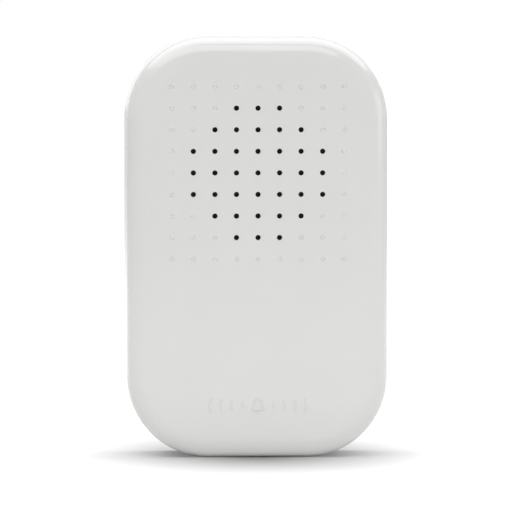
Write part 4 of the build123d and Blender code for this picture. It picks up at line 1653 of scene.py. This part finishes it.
@dataclass
class Studio:
    """Camera, lamps, floor and surroundings."""

    azimuth: float = -2.75
    elevation: float = 2.2
    distance: float = 2.0
    frame_width: float = 0.1520
    sensor: float = 36.0
    clip_end: float = 50.0
    aim_right: float = 0.00018
    aim_down: float = 0.00310
    ambient: float = 0.18
    # Painted shadow on the floor: inside an ellipse of this half width and reach round the chime, the
    # camera sees a darker floor colour and a weaker glow. The slope and the lifts below shape how it
    # fades outwards.
    shadow_half_width: float = 0.068
    shadow_reach: float = 0.124
    shadow_core: float = 0.1
    shadow_slope: float = 0.8
    edge_lift: float = 0.53
    far_lift: float = 0.7
    far_reach: float = 10.0
    mirrored_lift: float = 0.45
    floor_size: float = 24.0
    floor_cells: int = 8
    cloud_scale: float = 30.0
    cloud_share: float = 0.04
    # core is the painted shadow's darkest floor colour and pale is the floor outside it. bounce is the
    # even colour that light bouncing off the floor sees.
    core: Colour = (0.22, 0.22, 0.22)
    pale: Colour = (0.74, 0.74, 0.74)
    bounce: Colour = (0.90, 0.90, 0.90)
    lamps: tuple[Softbox, ...] = (
        Softbox("overhead", (0.1, 0.40, 1.0), (0.1, 0.40, 0.0), (2.3, 1.1), 1.82),
        Softbox("front_top", (-0.2, -0.62, 1.0), (0.0, 0.0, 0.06), (1.5, 0.7), 1.75),
        Softbox("low_fill", (0.03, -0.32, 0.02), (0.0, 0.0, 0.02), (0.5, 0.03), 4.8, False),
        Softbox("right_fill", (1.3, -0.35, 0.3), (0.0, 0.0, 0.06), (0.8, 0.5), 1.45),
        Softbox("left_fill", (-1.3, -0.5, 0.3), (0.0, 0.0, 0.06), (0.8, 0.5), 0.4, False),
    )

    def camera(self) -> None:
        """Makes the camera at the photograph's angle."""
        low, high = CAD_BOX
        turn = math.radians(self.azimuth)
        rise = math.radians(self.elevation)
        away = Vector(
            (math.sin(turn) * math.cos(rise), -math.cos(turn) * math.cos(rise), math.sin(rise))
        )
        right = Vector((math.cos(turn), math.sin(turn), 0.0))
        up = away.cross(right)
        middle = Vector((0.0, 0.0, (low[2] + high[2]) / 2))
        aim = middle + right * self.aim_right - up * self.aim_down
        lens = bpy.data.cameras.new("camera")
        lens.sensor_width = self.sensor
        lens.lens = self.sensor * self.distance / self.frame_width
        lens.clip_end = self.clip_end
        camera = bpy.data.objects.new("camera", lens)
        camera.location = aim + away * self.distance
        camera.rotation_euler = (-away).to_track_quat("-Z", "Y").to_euler()
        bpy.context.scene.collection.objects.link(camera)
        bpy.context.scene.camera = camera

    def mirrored(self, sheet: NodeSheet, path: Node) -> NodeSocket:
        """Tells the rays that gloss and glass send out.

        Args:
            sheet: The sheet of the shader that asks.
            path: Its Light Path node.

        Returns:
            1 for those rays.
        """
        return sheet.math(
            "MAXIMUM", path.outputs["Is Glossy Ray"], path.outputs["Is Transmission Ray"]
        )

    def surroundings(self) -> None:
        """Makes the surroundings, white to the eye and in gloss, and dimmer as light."""
        world = bpy.data.worlds.new("surroundings")
        world.use_nodes = True
        bpy.context.scene.world = world
        sheet = NodeSheet(world.node_tree)
        path = sheet.add("LightPath")
        seen = sheet.math("MAXIMUM", path.outputs["Is Camera Ray"], self.mirrored(sheet, path))
        strength = sheet.remap(seen, 0.0, 1.0, self.ambient, 1.0)
        shader = sheet.fill(sheet.add("Background"), Color=WHITE, Strength=strength)
        sheet.fill(sheet.add("OutputWorld"), Surface=shader.outputs[0])

    def floor(self) -> None:
        """Lays the floor, white to the eye but for the shadow round the chime. The lamps cast part of
        this shadow and part is painted: the camera sees a darker colour and a weaker glow near the
        chime.
        """
        mould, cells = Mould(), self.floor_cells
        bmesh.ops.create_grid(
            mould.bm, x_segments=cells, y_segments=cells, size=self.floor_size / 2
        )
        floor = mould.cast("floor")
        data = bpy.data.materials.new("floor")
        data.use_nodes = True
        floor.data.materials.append(data)
        sheet = NodeSheet(data.node_tree)
        # Painted shadow: distance from the chime, measured across an ellipse, sets how dark the floor
        # looks to the camera.
        spread = (1.0 / self.shadow_half_width, 1.0 / self.shadow_reach, 1.0)
        length = sheet.add("VectorMath", operation="LENGTH")
        sheet.put(length.inputs[0], sheet.stretched(sheet.place(), spread))
        distance = length.outputs["Value"]
        spread_out = sheet.remap(distance, self.shadow_core, 1.0)
        outward = sheet.math("POWER", spread_out, self.shadow_slope)
        cloud = sheet.math(
            "MULTIPLY", sheet.noise(sheet.place(), self.cloud_scale, 3.0), self.cloud_share
        )
        # Painted shadow colour: core near the chime, rising to pale outwards, with a faint random
        # cloud.
        painted_shadow = sheet.mix(sheet.math("ADD", outward, cloud), self.core, self.pale)
        # The glow that whitens the floor for the camera is weaker near the chime, which deepens the
        # painted shadow.
        beyond = sheet.remap(distance, 1.0, self.far_reach, 0.0, self.far_lift)
        lift = sheet.math("MULTIPLY_ADD", outward, self.edge_lift, beyond)
        path = sheet.add("LightPath")
        eye = path.outputs["Is Camera Ray"]
        # Gloss sees the glow at a lower share, so the painted shadow also shows in reflections.
        seen = sheet.math("MULTIPLY_ADD", self.mirrored(sheet, path), self.mirrored_lift, eye)
        # Light that the floor throws back onto the chime sees the even bounce colour, not the painted
        # shadow.
        diffuse = sheet.fill(sheet.add("BsdfDiffuse"), Color=sheet.mix(eye, self.bounce, painted_shadow))
        strength = sheet.math("MULTIPLY", seen, lift)
        glow = sheet.fill(sheet.add("Emission"), Color=WHITE, Strength=strength)
        both = sheet.add("AddShader")
        sheet.put(both.inputs[0], diffuse.outputs[0])
        sheet.put(both.inputs[1], glow.outputs[0])
        sheet.fill(sheet.add("OutputMaterial"), Surface=both.outputs[0])

    def build(self) -> None:
        """Sets up the whole studio."""
        self.camera()
        self.surroundings()
        self.floor()
        for lamp in self.lamps:
            lamp.hang()


def main() -> None:
    """Builds and dresses everything."""
    logging.basicConfig(level=logging.INFO, format="%(message)s")
    bpy.context.scene.view_settings.view_transform = "Standard"
    rack = MaterialRack()
    FrontCover(rack).build()
    BackPlate(rack).build()
    finishes = {
        part["node"]: Finish(part["material_slot"]) for part in FRAME["record"]["subparts"]
    }
    for body, nodes in FRAME["record"]["behaviour"]["bodies"].items():
        for node in nodes:
            if node not in ("front_cover", "base_plate"):
                SmallPiece(node, body, finishes[node], rack).build()
    Studio().build()


if __name__ == "__main__":
    main()
